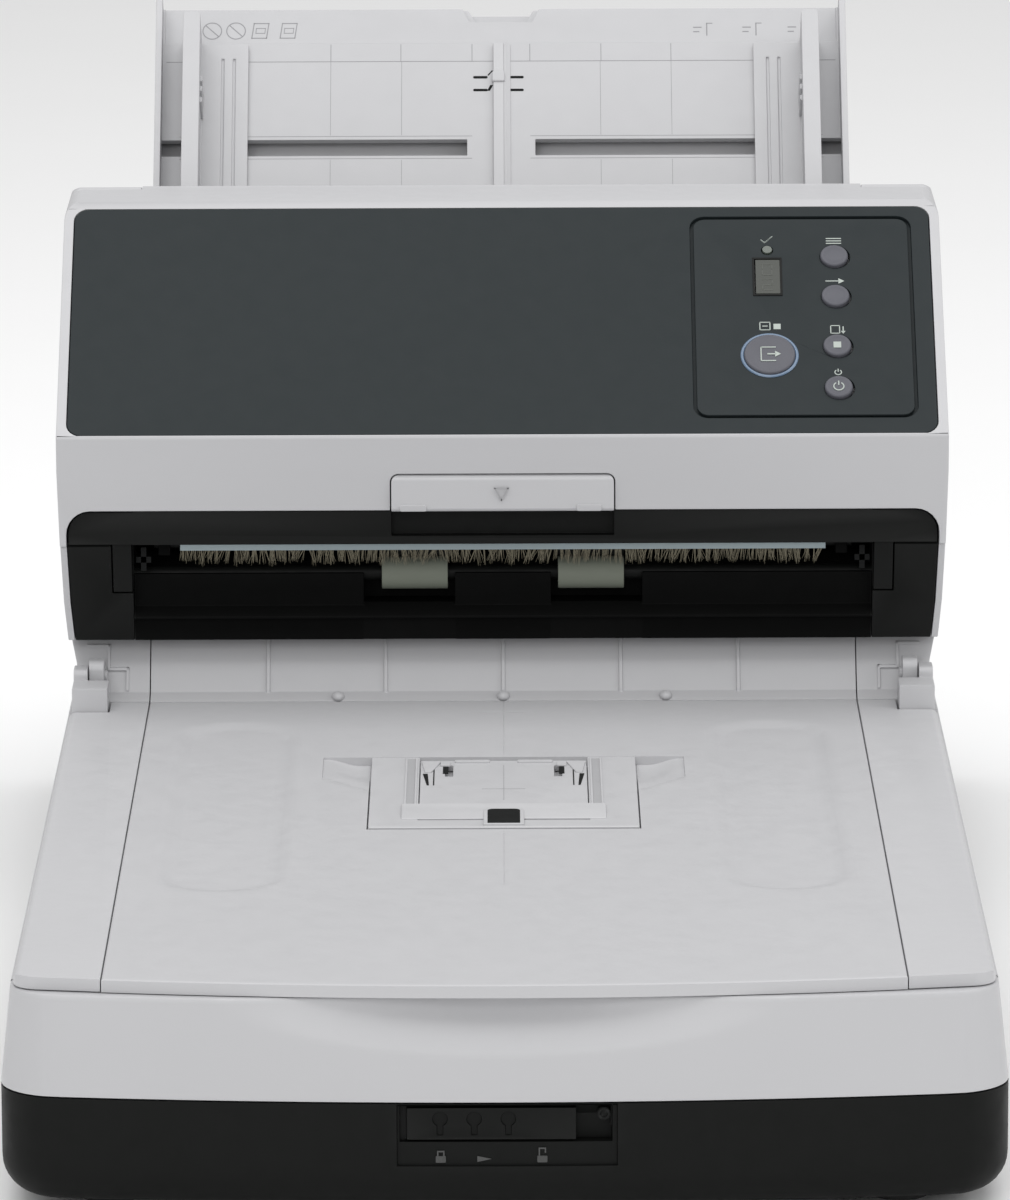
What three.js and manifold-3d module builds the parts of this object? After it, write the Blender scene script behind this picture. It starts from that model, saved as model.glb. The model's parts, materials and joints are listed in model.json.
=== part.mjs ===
// Desktop document scanner: a flatbed base with a hinged cover, and a sheet feeder standing on its rear deck.
// Millimetres. X runs to the right, Y from the front edge to the back, Z up from the table.
import * as THREE from 'three';
import { mergeVertices } from 'three/addons/utils/BufferGeometryUtils.js';
import Module from 'manifold-3d';

const wasm = await Module();
wasm.setup();

// ---- Clearances and walls ----
const GAP = 0.3;
const WALL = 2.5;
const SLIDE_GAP = 0.4;
const ROUND = 12;

// ---- Flatbed base ----
const BASE_WIDTH = 300;
const BASE_DEPTH = 577;
const FOOT_HEIGHT = 4;
const FOOT_RADIUS = 9;
const SEAM_Z = 37.5;
const RIM_Z = 68.2;
const DECK_Z = 91.5;
const FRONT_BOW = 10.4;
const TUB_EDGE = 12;
const PLAN_CORNER = 16;
const SKIRT_LEAN = 3.2;
const BED_MARGIN_SIDE = 40.5;
const BED_MARGIN_END = 30;
const GLASS_THICKNESS = 3;
const GLASS_LAP = 4.5;

// ---- Document cover ----
const COVER_THICKNESS = 4;
const COVER_INSET = 4.2;
const SIDE_PANEL_WIDTH = 26.6;
const COVER_FRONT = 4.6;
const COVER_BOW = 13;
const STOPPER_WIDTH = 87;
const STOPPER_LENGTH = 99;
const STOPPER_BACK = 83;
const STOPPER_FLOOR = 1;
const HINGE_UP = 12.3;
const HINGE_PIN = 2;

// ---- Sheet feeder ----
const FEEDER_DEPTH = 202;
const SIDE_BLOCK = 25.3;
const SIDE_SKIN = 2.2;
const BAND_BOTTOM_Z = 139.3;
const BAND_TOP_Z = 164.6;
const PANEL_SLOPE = 38.5;
const PANEL_LENGTH = 102.4;
const PANEL_THICKNESS = 3;
const TOP_BAND = 37;
const SPLIT_Z = 126.6;
const HUB_RADIUS = 7;
const HUB_PIN = 2.4;
const LIP = 3;
const SPLIT_GAP = 0.8;
const EXIT_SETBACK = 13;
const CHEEK_SETBACK = 2.2;
const MOUTH_CORNER = 8;
const TAB_WIDTH = 74.6;
const TAB_HEIGHT = 12;

// ---- Control panel and buttons ----
const CONTROL_WIDTH = 73;
const CONTROL_ENDS = [8.8, 5.6];
const CONTROL_MARGIN = 7.4;
const CONTROL_GROOVE = 1.2;
const SCAN_RADIUS = 8.7;
const KEY_RADIUS = 4.75;
const KEY_PROUD = 1.2;

// ---- Rollers ----
const SHAFT_RADIUS = 2.5;
const EXIT_ROLLER_RADIUS = 5.5;
const FEED_ROLLER_RADIUS = 7;
const PICK_ROLLER_RADIUS = 7.5;
const PULLEY_RADIUS = 5.6;
const BELT_THICKNESS = 1.2;

// ---- Paper chute ----
const CHUTE_SLOPE = 51;
const CHUTE_TOP = 72.7;
const CHUTE_BOTTOM = -57;
const CHUTE_THICKNESS = 9.5;
const CHUTE_SKIN = 2.6;
const CHUTE_WALL_HEIGHT = 9;
const GUIDE_HEIGHT = 20;
const GUIDE_THICKNESS = 6;
const GUIDE_INSET = 10;
const GUIDE_PLATE = 16.5;
const GUIDE_TOP = 57;
const RACK_S = 16;
const TOOTH_PITCH = Math.PI;
const PINION_TEETH = 12;
const EXTENSION_WIDTH = 108.6;
const INNER_EXTENSION_WIDTH = 54;

// ---- Sizes that follow from the ones above ----
const HALF = BASE_WIDTH / 2;
const COVER_HALF = HALF - COVER_INSET;
const CENTER_HALF = COVER_HALF - SIDE_PANEL_WIDTH;
const COVER_BOTTOM_Z = RIM_Z + GAP;
const COVER_Z = COVER_BOTTOM_Z + COVER_THICKNESS;
const FEEDER_HALF = HALF - 0.6;
const PATH_HALF = FEEDER_HALF - SIDE_BLOCK;
const CHUTE_HALF = PATH_HALF - 2.6;
const FEEDER_Y = BASE_DEPTH - FEEDER_DEPTH;
const RAMP_FOOT_Y = FEEDER_Y + 6.6;
const FEEDER_Z = DECK_Z + 0.8;
const PANEL_HALF = FEEDER_HALF - LIP - 0.6;
const HINGE_Y = RAMP_FOOT_Y + 4.4;
const HINGE_Z = RIM_Z + HINGE_UP;
const BED_FRONT = BED_MARGIN_END;
const BED_BACK = RAMP_FOOT_Y - BED_MARGIN_END - 19;
const BED_HALF = HALF - BED_MARGIN_SIDE;
const PANEL_RISE = [
  PANEL_LENGTH * Math.cos(THREE.MathUtils.degToRad(PANEL_SLOPE)),
  PANEL_LENGTH * Math.sin(THREE.MathUtils.degToRad(PANEL_SLOPE)),
];
const TOP_Z = BAND_TOP_Z + PANEL_RISE[1] + 1.9;
const TOP_BACK_Y = FEEDER_Y + PANEL_RISE[0] + TOP_BAND;
const HUB = [TOP_BACK_Y - 3, TOP_Z - HUB_RADIUS];
const SIDE_FRONT_Y = FEEDER_Y + EXIT_SETBACK;
const CHEEK_TOP_Y = FEEDER_Y + CHEEK_SETBACK;

// Paper path: exit nip, read line, feed nip, pick point, and the chute's surface at the mouth.
const EXIT_NIP = [FEEDER_Y + 17, 120];
const FEED_NIP = [FEEDER_Y + 65, 141];
const PICK_NIP = [FEEDER_Y + 93, 160];
const CHUTE_ORIGIN = [FEEDER_Y + 150, 224];

// ---- Finishes ----
const FINISH = {
  light: { color: 0xcfd1d1, roughness: 0.55, metalness: 0 },
  dark: { color: 0x222423, roughness: 0.6, metalness: 0 },
  panel: { color: 0x353b3d, roughness: 0.5, metalness: 0 },
  key: { color: 0x6c6e75, roughness: 0.5, metalness: 0 },
  display: { color: 0x4b5048, roughness: 0.2, metalness: 0 },
  lens: { color: 0xb9c7b8, roughness: 0.3, metalness: 0 },
  glass: { color: 0xbfd0cf, roughness: 0.05, metalness: 0 },
  rubber: { color: 0x2b2b2b, roughness: 0.85, metalness: 0 },
  roller: { color: 0x58615a, roughness: 0.8, metalness: 0 },
  steel: { color: 0xb9bcc0, roughness: 0.3, metalness: 1 },
  bristle: { color: 0x6e6955, roughness: 0.9, metalness: 0 },
  white: { color: 0xf2f2ef, roughness: 0.8, metalness: 0 },
};

// ---- Solids ----
function solidFrom(geometry) {
  const bare = geometry.clone();
  bare.deleteAttribute('normal');
  bare.deleteAttribute('uv');
  const merged = mergeVertices(bare);
  return new wasm.Manifold(new wasm.Mesh({
    numProp: 3,
    vertProperties: new Float32Array(merged.attributes.position.array),
    triVerts: new Uint32Array(merged.index.array),
  }));
}

function geometryFrom(solid) {
  const mesh = solid.getMesh();
  const geometry = new THREE.BufferGeometry();
  geometry.setAttribute('position', new THREE.BufferAttribute(new Float32Array(mesh.vertProperties), 3));
  geometry.setIndex(new THREE.BufferAttribute(new Uint32Array(mesh.triVerts), 1));
  geometry.computeVertexNormals();
  return geometry;
}

function box(x, y, z) {
  const geometry = new THREE.BoxGeometry(x[1] - x[0], y[1] - y[0], z[1] - z[0]);
  geometry.translate((x[0] + x[1]) / 2, (y[0] + y[1]) / 2, (z[0] + z[1]) / 2);
  return solidFrom(geometry);
}

function extrude(shape, basis, offset, depth, segments = 3) {
  const geometry = new THREE.ExtrudeGeometry(shape, { depth, bevelEnabled: false, curveSegments: segments });
  geometry.applyMatrix4(new THREE.Matrix4().makeBasis(...basis));
  geometry.translate(...offset);
  return solidFrom(geometry);
}

const X_AXIS = new THREE.Vector3(1, 0, 0);
const Y_AXIS = new THREE.Vector3(0, 1, 0);
const Z_AXIS = new THREE.Vector3(0, 0, 1);
const FRONT_AXIS = new THREE.Vector3(0, -1, 0);

// An outline drawn in (Y, Z) and carried along X from x[0] to x[1].
function alongX(shape, x, segments) {
  return extrude(shape, [Y_AXIS, Z_AXIS, X_AXIS], [x[0], 0, 0], x[1] - x[0], segments);
}

// An outline drawn in (X, Z) and carried along Y from y[0] to y[1].
function alongY(shape, y, segments) {
  return extrude(shape, [X_AXIS, Z_AXIS, FRONT_AXIS], [0, y[1], 0], y[1] - y[0], segments);
}

// An outline drawn in (X, Y) and carried up Z from z[0] to z[1].
function alongZ(shape, z, segments) {
  return extrude(shape, [X_AXIS, Y_AXIS, Z_AXIS], [0, 0, z[0]], z[1] - z[0], segments);
}

function disc(centre, radius) {
  const shape = new THREE.Shape();
  shape.absarc(centre[0], centre[1], radius, 0, Math.PI * 2, false);
  return shape;
}

function rod(centre, radius, x, segments = ROUND) {
  return alongX(disc(centre, radius), x, segments);
}

// A closed outline through corners [u, v, radius]; a corner with a radius is rounded by an arc.
function outline(corners) {
  const shape = new THREE.Shape();
  corners.forEach(([u, v, radius = 0], i) => {
    const corner = new THREE.Vector2(u, v);
    if (radius === 0) {
      if (i === 0) shape.moveTo(u, v);
      else shape.lineTo(u, v);
      return;
    }
    const before = corners.at(i - 1);
    const after = corners[(i + 1) % corners.length];
    const back = new THREE.Vector2(before[0], before[1]).sub(corner).normalize();
    const ahead = new THREE.Vector2(after[0], after[1]).sub(corner).normalize();
    const half = Math.acos(THREE.MathUtils.clamp(back.dot(ahead), -1, 1)) / 2;
    const centre = back.clone().add(ahead).normalize().multiplyScalar(radius / Math.sin(half)).add(corner);
    const from = back.clone().multiplyScalar(radius / Math.tan(half)).add(corner).sub(centre);
    const to = ahead.clone().multiplyScalar(radius / Math.tan(half)).add(corner).sub(centre);
    if (i === 0) shape.moveTo(centre.x + from.x, centre.y + from.y);
    else shape.lineTo(centre.x + from.x, centre.y + from.y);
    shape.absarc(centre.x, centre.y, radius, from.angle(), to.angle(), back.cross(ahead) > 0);
  });
  return shape;
}

function roundRect(u, v, radius) {
  return outline([
    [u[0], v[0], radius],
    [u[1], v[0], radius],
    [u[1], v[1], radius],
    [u[0], v[1], radius],
  ]);
}

// [low, high] on the right for side 1, and its mirror on the left for side -1.
function onSide(side, near, far) {
  return side > 0 ? [near, far] : [-far, -near];
}

const SIDES = [[-1, 'left'], [1, 'right']];

const scanner = new THREE.Group();
const bench = new THREE.Group();
const panelFrame = new THREE.Group();
const chuteFrame = new THREE.Group();
scanner.add(bench);
bench.add(panelFrame, chuteFrame);
panelFrame.position.set(0, FEEDER_Y, BAND_TOP_Z);
panelFrame.rotation.x = THREE.MathUtils.degToRad(PANEL_SLOPE);
chuteFrame.position.set(0, ...CHUTE_ORIGIN);
chuteFrame.rotation.x = THREE.MathUtils.degToRad(CHUTE_SLOPE);

function piece(name, finish, solid, parent = bench) {
  const mesh = new THREE.Mesh(geometryFrom(solid), new THREE.MeshStandardMaterial(FINISH[finish]));
  mesh.name = name;
  parent.add(mesh);
}

// ---- Flatbed base ----

// Plan of the base: a bowed front edge between rounded corners, a straight back.
function planOutline(half, front, back, bow, corner) {
  const steps = 8;
  const corners = [[-half, front + bow, corner]];
  for (let i = 1; i < steps; i += 1) {
    const x = -half + (2 * half * i) / steps;
    corners.push([x, front + bow * (x / half) ** 2]);
  }
  corners.push([half, front + bow, corner], [half, back, corner], [-half, back, corner]);
  return outline(corners);
}

function tub(inset, top) {
  const half = HALF - inset;
  const bottom = FOOT_HEIGHT + inset;
  const edge = TUB_EDGE - inset;
  const plan = planOutline(half, inset, BASE_DEPTH - inset, FRONT_BOW, PLAN_CORNER - inset);
  const back = BASE_DEPTH - inset;
  const side = outline([[inset, bottom, edge], [back, bottom, edge], [back, top], [inset, top]]);
  const front = outline([[-half, bottom, edge], [half, bottom, edge], [half, top], [-half, top]]);
  return alongZ(plan, [bottom, top])
    .intersect(alongX(side, [-half, half], 3))
    .intersect(alongY(front, [inset, BASE_DEPTH - inset], 3));
}

const LOCK_RECESS = { x: [-32.4, 32.4], z: [18.6, SEAM_Z + 1], depth: 1.1 };
const LOCK_WINDOW = { x: [-31.4, 31.8], z: [25.6, SEAM_Z - 1] };
const LOCK_SLIDER = { x: [-29, 21], z: [26.2, SEAM_Z - 1.6] };
const LOCK_TRACK = { x: [-34, 26.5], z: [23.4, SEAM_Z - 0.9] };
const LOCK_POCKET = 5.4;
const LOCK_FACE = LOCK_RECESS.depth + 0.4;

function baseLowerCase() {
  const recess = box(LOCK_RECESS.x, [-5, LOCK_RECESS.depth], LOCK_RECESS.z);
  const window = box(LOCK_WINDOW.x, [-5, LOCK_POCKET], LOCK_WINDOW.z);
  const slot = box(LOCK_TRACK.x, [LOCK_FACE + 1.6, LOCK_POCKET], LOCK_TRACK.z);
  const housing = box(
    [LOCK_TRACK.x[0] - WALL, LOCK_TRACK.x[1] + WALL],
    [0.5, LOCK_POCKET + WALL],
    [LOCK_TRACK.z[0] - WALL, SEAM_Z],
  );
  const boss = alongY(disc([LOCK_WINDOW.x[1] - 2.6, SEAM_Z - 3.4], 2), [LOCK_FACE, LOCK_POCKET + 1]);
  return tub(0, SEAM_Z).subtract(tub(WALL, SEAM_Z + 1)).add(housing.intersect(tub(0, SEAM_Z)))
    .subtract(recess).subtract(window).subtract(slot).add(boss);
}

function transportLockSlider() {
  const face = box(LOCK_SLIDER.x, [LOCK_FACE, 4.4], LOCK_SLIDER.z);
  const flange = box([LOCK_SLIDER.x[0] - 4, LOCK_SLIDER.x[1] - 1], [3.4, 4.8], [24, SEAM_Z - 1.2]);
  let solid = face.add(flange);
  for (const x of [-19.2, -9.1, 1]) {
    const z = LOCK_SLIDER.z[1] - 3.4;
    solid = solid.subtract(alongY(disc([x, z], 2.2), [0, LOCK_FACE + 0.7], 8));
    solid = solid.subtract(box([x - 0.9, x + 0.9], [0, LOCK_FACE + 0.7], [LOCK_SLIDER.z[0] + 1.4, z]));
  }
  return solid;
}

// Side view of the light frame: front face, rim, the slope behind the cover, and the feeder's deck.
function frameSide(inset, bottom) {
  return outline([
    [inset, bottom],
    [SKIRT_LEAN + inset, RIM_Z - inset],
    [RAMP_FOOT_Y + 0.4 + inset, RIM_Z - inset],
    [RAMP_FOOT_Y + 0.4 + inset, COVER_Z - inset],
    [RAMP_FOOT_Y + 5 + inset, COVER_Z + 2 - inset],
    [RAMP_FOOT_Y + 16.8 + inset, DECK_Z - inset, 2],
    [BASE_DEPTH - inset, DECK_Z - inset],
    [BASE_DEPTH - inset, bottom],
  ]);
}

function frameFront(inset, bottom) {
  const right = [
    [HALF - inset, bottom],
    [HALF - SKIRT_LEAN - inset, RIM_Z],
    [HALF - 5.7 - inset, RIM_Z + 8],
    [HALF - 5.7 - inset, RIM_Z + 15],
    [HALF - 3.6 - inset, DECK_Z],
  ];
  const left = right.map(([x, z]) => [-x, z]).reverse();
  return outline([...right, ...left]);
}

function frameBody(inset, bottom) {
  const plan = planOutline(HALF - inset, inset, BASE_DEPTH - inset, FRONT_BOW, PLAN_CORNER - inset);
  return alongZ(plan, [bottom, DECK_Z])
    .intersect(alongX(frameSide(inset, bottom), [-HALF, HALF]))
    .intersect(alongY(frameFront(inset, bottom), [-1, BASE_DEPTH + 1]));
}

function scoop() {
  const geometry = new THREE.SphereGeometry(1, 32, 20);
  geometry.scale(75, 12, 17);
  geometry.translate(0, -1, RIM_Z + 0.3);
  return solidFrom(geometry);
}

const POST_INNER = COVER_HALF - 11.1;
const POST_OUTER = COVER_HALF - 6.1;

function hingePost(side) {
  const ear = alongX(outline([
    [HINGE_Y - 4.5, RIM_Z - 1],
    [HINGE_Y + 4.5, RIM_Z - 1],
    [HINGE_Y + 4.5, HINGE_Z + 5.5, 3],
    [HINGE_Y - 4.5, HINGE_Z + 5.5, 3],
  ]), onSide(side, POST_INNER, POST_OUTER));
  return ear.subtract(rod([HINGE_Y, HINGE_Z], HINGE_PIN + 0.25, [-HALF, HALF]));
}

// Room in the slope for the cover hinge's cheek to turn in.
function cheekRoom(side) {
  const x = onSide(side, POST_OUTER, HALF + 1);
  const below = outline([
    [RAMP_FOOT_Y - 1, COVER_BOTTOM_Z - 0.6],
    [HINGE_Y + 5.6, HINGE_Z - 6],
    [HINGE_Y + 5.6, HINGE_Z + 20],
    [RAMP_FOOT_Y - 1, HINGE_Z + 20],
  ]);
  return rod([HINGE_Y, HINGE_Z], 6.4, x).add(alongX(below, x));
}

const CONNECTOR = { x: [-112, -40], z: [46, 66] };

function baseUpperFrame() {
  const bottom = SEAM_Z + GAP;
  const behindScoop = box([-HALF, HALF], [-5, 16], [48, RIM_Z + 2]);
  const inside = frameBody(WALL, bottom - 1).subtract(behindScoop);
  const opening = box([-BED_HALF, BED_HALF], [BED_FRONT, BED_BACK], [RIM_Z - 5, RIM_Z + 2]);
  const rampSeat = box(
    [-CENTER_HALF - GAP, CENTER_HALF + GAP],
    [RAMP_FOOT_Y - 2, RAMP_FOOT_Y + 23],
    [RIM_Z, DECK_Z + 2],
  );
  const rampFloor = box(
    [-CENTER_HALF - GAP - WALL, CENTER_HALF + GAP + WALL],
    [RAMP_FOOT_Y + 8, RAMP_FOOT_Y + 23 + WALL],
    [RIM_Z - WALL, DECK_Z - WALL + 0.5],
  );
  const socket = box(
    [CONNECTOR.x[0] - GAP, CONNECTOR.x[1] + GAP],
    [BASE_DEPTH - 6, BASE_DEPTH + 2],
    [CONNECTOR.z[0] - GAP, CONNECTOR.z[1] + GAP],
  );
  let solid = frameBody(0, bottom).subtract(inside).subtract(scoop())
    .add(rampFloor.intersect(frameBody(0, bottom)))
    .subtract(opening).subtract(rampSeat).subtract(socket);
  for (const [side] of SIDES) {
    solid = solid.subtract(cheekRoom(side)).add(hingePost(side));
  }
  return solid;
}

function connectorPlate() {
  const y = [BASE_DEPTH - 5, BASE_DEPTH - 1.5];
  const plate = box(CONNECTOR.x, y, CONNECTOR.z);
  const middle = (CONNECTOR.z[0] + CONNECTOR.z[1]) / 2;
  const inlet = alongY(disc([CONNECTOR.x[0] + 14, middle], 5.4), [y[0] - 1, y[1] + 1]);
  const socketX = [CONNECTOR.x[1] - 22, CONNECTOR.x[1] - 10];
  const usb = box(socketX, [y[0] + 1, y[1] + 1], [middle - 5.5, middle + 5.5]);
  return plate.subtract(inlet).subtract(usb);
}

function powerInlet() {
  const centre = [CONNECTOR.x[0] + 14, (CONNECTOR.z[0] + CONNECTOR.z[1]) / 2];
  const y = [BASE_DEPTH - 16, BASE_DEPTH - 1.8];
  const sleeve = alongY(disc(centre, 5), y).subtract(alongY(disc(centre, 3.4), [y[0] + 2, y[1] + 1]));
  return sleeve.add(alongY(disc(centre, 1.1), [y[0], y[1] - 1.5], 12));
}

// Scan carriage, its guide rod, and the belt that pulls it.
const RAIL = [-40, 38];
const RAIL_RADIUS = 3;
const BELT_X = 44;
const BELT_Z = [46, 51];
const CARRIAGE_PULLEY = 7;
const CARRIAGE_Y = BED_FRONT + 6;
const CARRIAGE_LENGTH = 34;
const PULLEY_Y = BED_BACK + 16;
const IDLER_Y = BED_FRONT;

function carriage() {
  const y = [CARRIAGE_Y, CARRIAGE_Y + CARRIAGE_LENGTH];
  const top = RIM_Z - WALL - GAP - GLASS_THICKNESS - 1.2;
  const tray = box([-BED_HALF - 6, BED_HALF + 6], y, [top - 6, top]);
  const slit = box([-BED_HALF, BED_HALF], [y[0] + 14, y[0] + 20], [top - 2, top + 1]);
  const saddle = box([RAIL[0] - 8, RAIL[0] + 8], y, [RAIL[1] - 5, top - 5]);
  const bore = alongY(disc(RAIL, RAIL_RADIUS + 0.1), [y[0] - 1, y[1] + 1], ROUND);
  const slot = box([BELT_X - 14, BELT_X + 14], [y[0] - 1, y[1] + 1], [BELT_Z[0] - 1, BELT_Z[1] + 0.6]);
  const clamp = box([BELT_X - 5.4, BELT_X + 5], [y[0] + 8, y[0] + 26], [BELT_Z[0], top - 5]);
  return tray.subtract(slit).add(saddle).subtract(bore).subtract(slot).add(clamp);
}

// A belt loop laid round equal pulleys: each pulley gives the arc between the two runs that leave it.
function beltLoop(centres, radius) {
  const shape = new THREE.Shape();
  centres.forEach((centre, i) => {
    const before = centres.at(i - 1);
    const after = centres[(i + 1) % centres.length];
    const arrive = Math.atan2(centre[1] - before[1], centre[0] - before[0]) - Math.PI / 2;
    const leave = Math.atan2(after[1] - centre[1], after[0] - centre[0]) - Math.PI / 2;
    shape.absarc(centre[0], centre[1], radius, arrive, leave, false);
  });
  return shape;
}

function carriageBelt() {
  const pulleys = [[BELT_X, IDLER_Y], [BELT_X, PULLEY_Y]];
  const inner = CARRIAGE_PULLEY + GAP;
  return alongZ(beltLoop(pulleys, inner + BELT_THICKNESS), BELT_Z, 7)
    .subtract(alongZ(beltLoop(pulleys, inner), [BELT_Z[0] - 1, BELT_Z[1] + 1], 7));
}

function beltPulley(y) {
  const centre = [BELT_X, y];
  return alongZ(disc(centre, CARRIAGE_PULLEY), BELT_Z, ROUND)
    .add(alongZ(disc(centre, 1.8), [BELT_Z[0] - 7, BELT_Z[1] + 2], 12));
}

function carriageMotor() {
  const can = alongZ(disc([BELT_X, PULLEY_Y], 15), [FOOT_HEIGHT + WALL + GAP, 36], ROUND);
  const shaftHole = alongZ(disc([BELT_X, PULLEY_Y], 2.2), [30, 37], 6);
  return can.subtract(shaftHole);
}

function buildBase() {
  piece('base_lower_case', 'dark', baseLowerCase());
  piece('base_upper_frame', 'light', baseUpperFrame());
  piece('transport_lock_slider', 'dark', transportLockSlider());
  for (const [side, name] of SIDES) {
    for (const [y, end] of [[34, 'front'], [BASE_DEPTH - 34, 'rear']]) {
      const centre = [side * (HALF - 32), y];
      const foot = alongZ(disc(centre, FOOT_RADIUS), [0, FOOT_HEIGHT - GAP], ROUND);
      piece(`foot_${end}_${name}`, 'rubber', foot);
    }
  }
  const glassTop = RIM_Z - WALL - GAP;
  piece('flatbed_glass', 'glass', box(
    [-BED_HALF - GLASS_LAP, BED_HALF + GLASS_LAP],
    [BED_FRONT - GLASS_LAP, BED_BACK + GLASS_LAP],
    [glassTop - GLASS_THICKNESS, glassTop],
  ));
  piece('carriage', 'dark', carriage());
  piece('carriage_rail', 'steel', alongY(disc(RAIL, RAIL_RADIUS), [BED_FRONT - 14, BED_BACK + 16], ROUND));
  piece('carriage_belt', 'rubber', carriageBelt());
  piece('carriage_motor', 'steel', carriageMotor());
  piece('carriage_pulley', 'steel', beltPulley(PULLEY_Y));
  piece('connector_plate', 'dark', connectorPlate());
  piece('power_inlet', 'steel', powerInlet());
}

// ---- Exit ramp: slopes from the feeder's mouth down to the document cover ----

function exitRamp() {
  const foot = RAMP_FOOT_Y;
  const top = FEEDER_Z - GAP;
  const x = [-CENTER_HALF, CENTER_HALF];
  const slope = outline([
    [foot - 0.2, RIM_Z + GAP],
    [foot, COVER_Z],
    [foot + 4.9, COVER_Z + 2],
    [foot + 16.6, top, 3],
    [foot + 22.6, top],
    [foot + 22.6, RIM_Z + GAP],
  ]);
  const hollow = outline([
    [foot + 5, RIM_Z],
    [foot + 8, COVER_Z + 1.4],
    [foot + 17.6, top - WALL],
    [foot + 20.2, top - WALL],
    [foot + 20.2, RIM_Z],
  ]);
  let solid = alongX(slope, x).subtract(alongX(hollow, [x[0] + WALL, x[1] - WALL]));
  const ribPitch = CENTER_HALF / 3;
  for (let i = -2; i <= 2; i += 1) {
    const rib = outline([
      [foot + 4.2, COVER_Z + 1],
      [foot + 4.4, COVER_Z + 3.2],
      [foot + 15.6, top - 0.4],
      [foot + 17, top - 2],
    ]);
    solid = solid.add(alongX(rib, [i * ribPitch - 0.6, i * ribPitch + 0.6]));
  }
  return solid;
}

// ---- Document cover ----

const STOPPER_Y = [RAMP_FOOT_Y - STOPPER_BACK - STOPPER_LENGTH, RAMP_FOOT_Y - STOPPER_BACK];
const STOPPER_HALF = STOPPER_WIDTH / 2;

function coverPlan(x) {
  const plate = planOutline(COVER_HALF, COVER_FRONT, RAMP_FOOT_Y - 1, COVER_BOW, 8);
  return alongZ(plate, [COVER_BOTTOM_Z, COVER_Z]).intersect(box(x, [-5, BASE_DEPTH], [0, COVER_Z + 1]));
}

function coverCenter() {
  const pocketZ = COVER_BOTTOM_Z + STOPPER_FLOOR;
  let solid = coverPlan([-CENTER_HALF, CENTER_HALF]);
  solid = solid.subtract(box([-STOPPER_HALF, STOPPER_HALF], STOPPER_Y, [pocketZ, COVER_Z + 1]));
  for (const [side] of SIDES) {
    const scoopX = side * (STOPPER_HALF - 0.5);
    const notch = outline([
      [scoopX, COVER_Z + 1],
      [scoopX, COVER_Z - 2.6],
      [scoopX + side * 15.5, COVER_Z + 0.01],
      [scoopX + side * 15.5, COVER_Z + 1],
    ]);
    solid = solid.subtract(alongY(notch, [STOPPER_Y[1] - 45, STOPPER_Y[1]]));
    const near = side * (STOPPER_HALF + 25);
    const far = side * (CENTER_HALF - 12);
    const dipX = [Math.min(near, far), Math.max(near, far)];
    const dip = roundRect(dipX, [STOPPER_Y[0] - 78, STOPPER_Y[1] + 51], 5);
    solid = solid.subtract(alongZ(dip, [COVER_Z - 0.6, COVER_Z + 1]));
  }
  return solid;
}

function coverSide(side) {
  const edge = outline([
    [side * (CENTER_HALF + GAP), COVER_BOTTOM_Z - 1],
    [side * (CENTER_HALF + GAP), COVER_Z],
    [side * COVER_HALF, COVER_Z, 2.4],
    [side * COVER_HALF, COVER_BOTTOM_Z - 1],
  ]);
  const notch = box(
    onSide(side, POST_INNER - 2.4, COVER_HALF + 1),
    [RAMP_FOOT_Y - 16, BASE_DEPTH],
    [0, COVER_Z + 1],
  );
  return coverPlan(onSide(side, CENTER_HALF + GAP, COVER_HALF))
    .intersect(alongY(edge, [-5, BASE_DEPTH]))
    .subtract(notch);
}

// Hinge arm: a block on the cover's corner, a cheek outside the post, and the pin that turns in the post.
function coverHinge(side) {
  const y = [RAMP_FOOT_Y - 15.6, RAMP_FOOT_Y - 0.8];
  const block = box(onSide(side, POST_INNER - 1.8, COVER_HALF - 1), y, [COVER_BOTTOM_Z, HINGE_Z]);
  const cheek = alongX(outline([
    [y[1] - 2, COVER_BOTTOM_Z + 0.4],
    [HINGE_Y + 3.4, HINGE_Z - 4, 3],
    [HINGE_Y + 3.4, HINGE_Z + 3.4, 3],
    [y[1] - 2, HINGE_Z + 3.4, 2],
  ]), onSide(side, POST_OUTER + SLIDE_GAP, COVER_HALF - 1));
  const relief = rod([HINGE_Y, HINGE_Z], 7.2, onSide(side, POST_INNER - 3, POST_OUTER + SLIDE_GAP));
  const pin = rod([HINGE_Y, HINGE_Z], HINGE_PIN, onSide(side, POST_INNER - 1, COVER_HALF - 2));
  return block.subtract(relief).add(cheek).add(pin);
}

function stopperPlate() {
  const z = [COVER_BOTTOM_Z + STOPPER_FLOOR + GAP, COVER_Z - 0.2];
  const x = [-STOPPER_HALF + SLIDE_GAP, STOPPER_HALF - SLIDE_GAP];
  const y = [STOPPER_Y[0] + SLIDE_GAP, STOPPER_Y[1] - SLIDE_GAP];
  const middle = (z[0] + z[1]) / 2;
  const side = outline([[y[0], z[0], 1.1], [y[0], z[1], 1.1], [y[1], z[1]], [y[1], z[0]]]);
  const window = box([-27.4, 27.4], [STOPPER_Y[0] + 12, y[1] + 1], [z[0] - 1, z[1] + 1]);
  const grip = box([-5.7, 5.7], [STOPPER_Y[0] + 4.5, STOPPER_Y[0] + 24], [middle, z[1] + 1]);
  let solid = alongX(side, x).subtract(window).subtract(grip);
  for (const [sign] of SIDES) {
    const channel = box(onSide(sign, 29, 31), [STOPPER_Y[0] + 22, y[1] - 2], [middle, z[1] + 1]);
    solid = solid.subtract(channel);
  }
  return solid;
}

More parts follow.
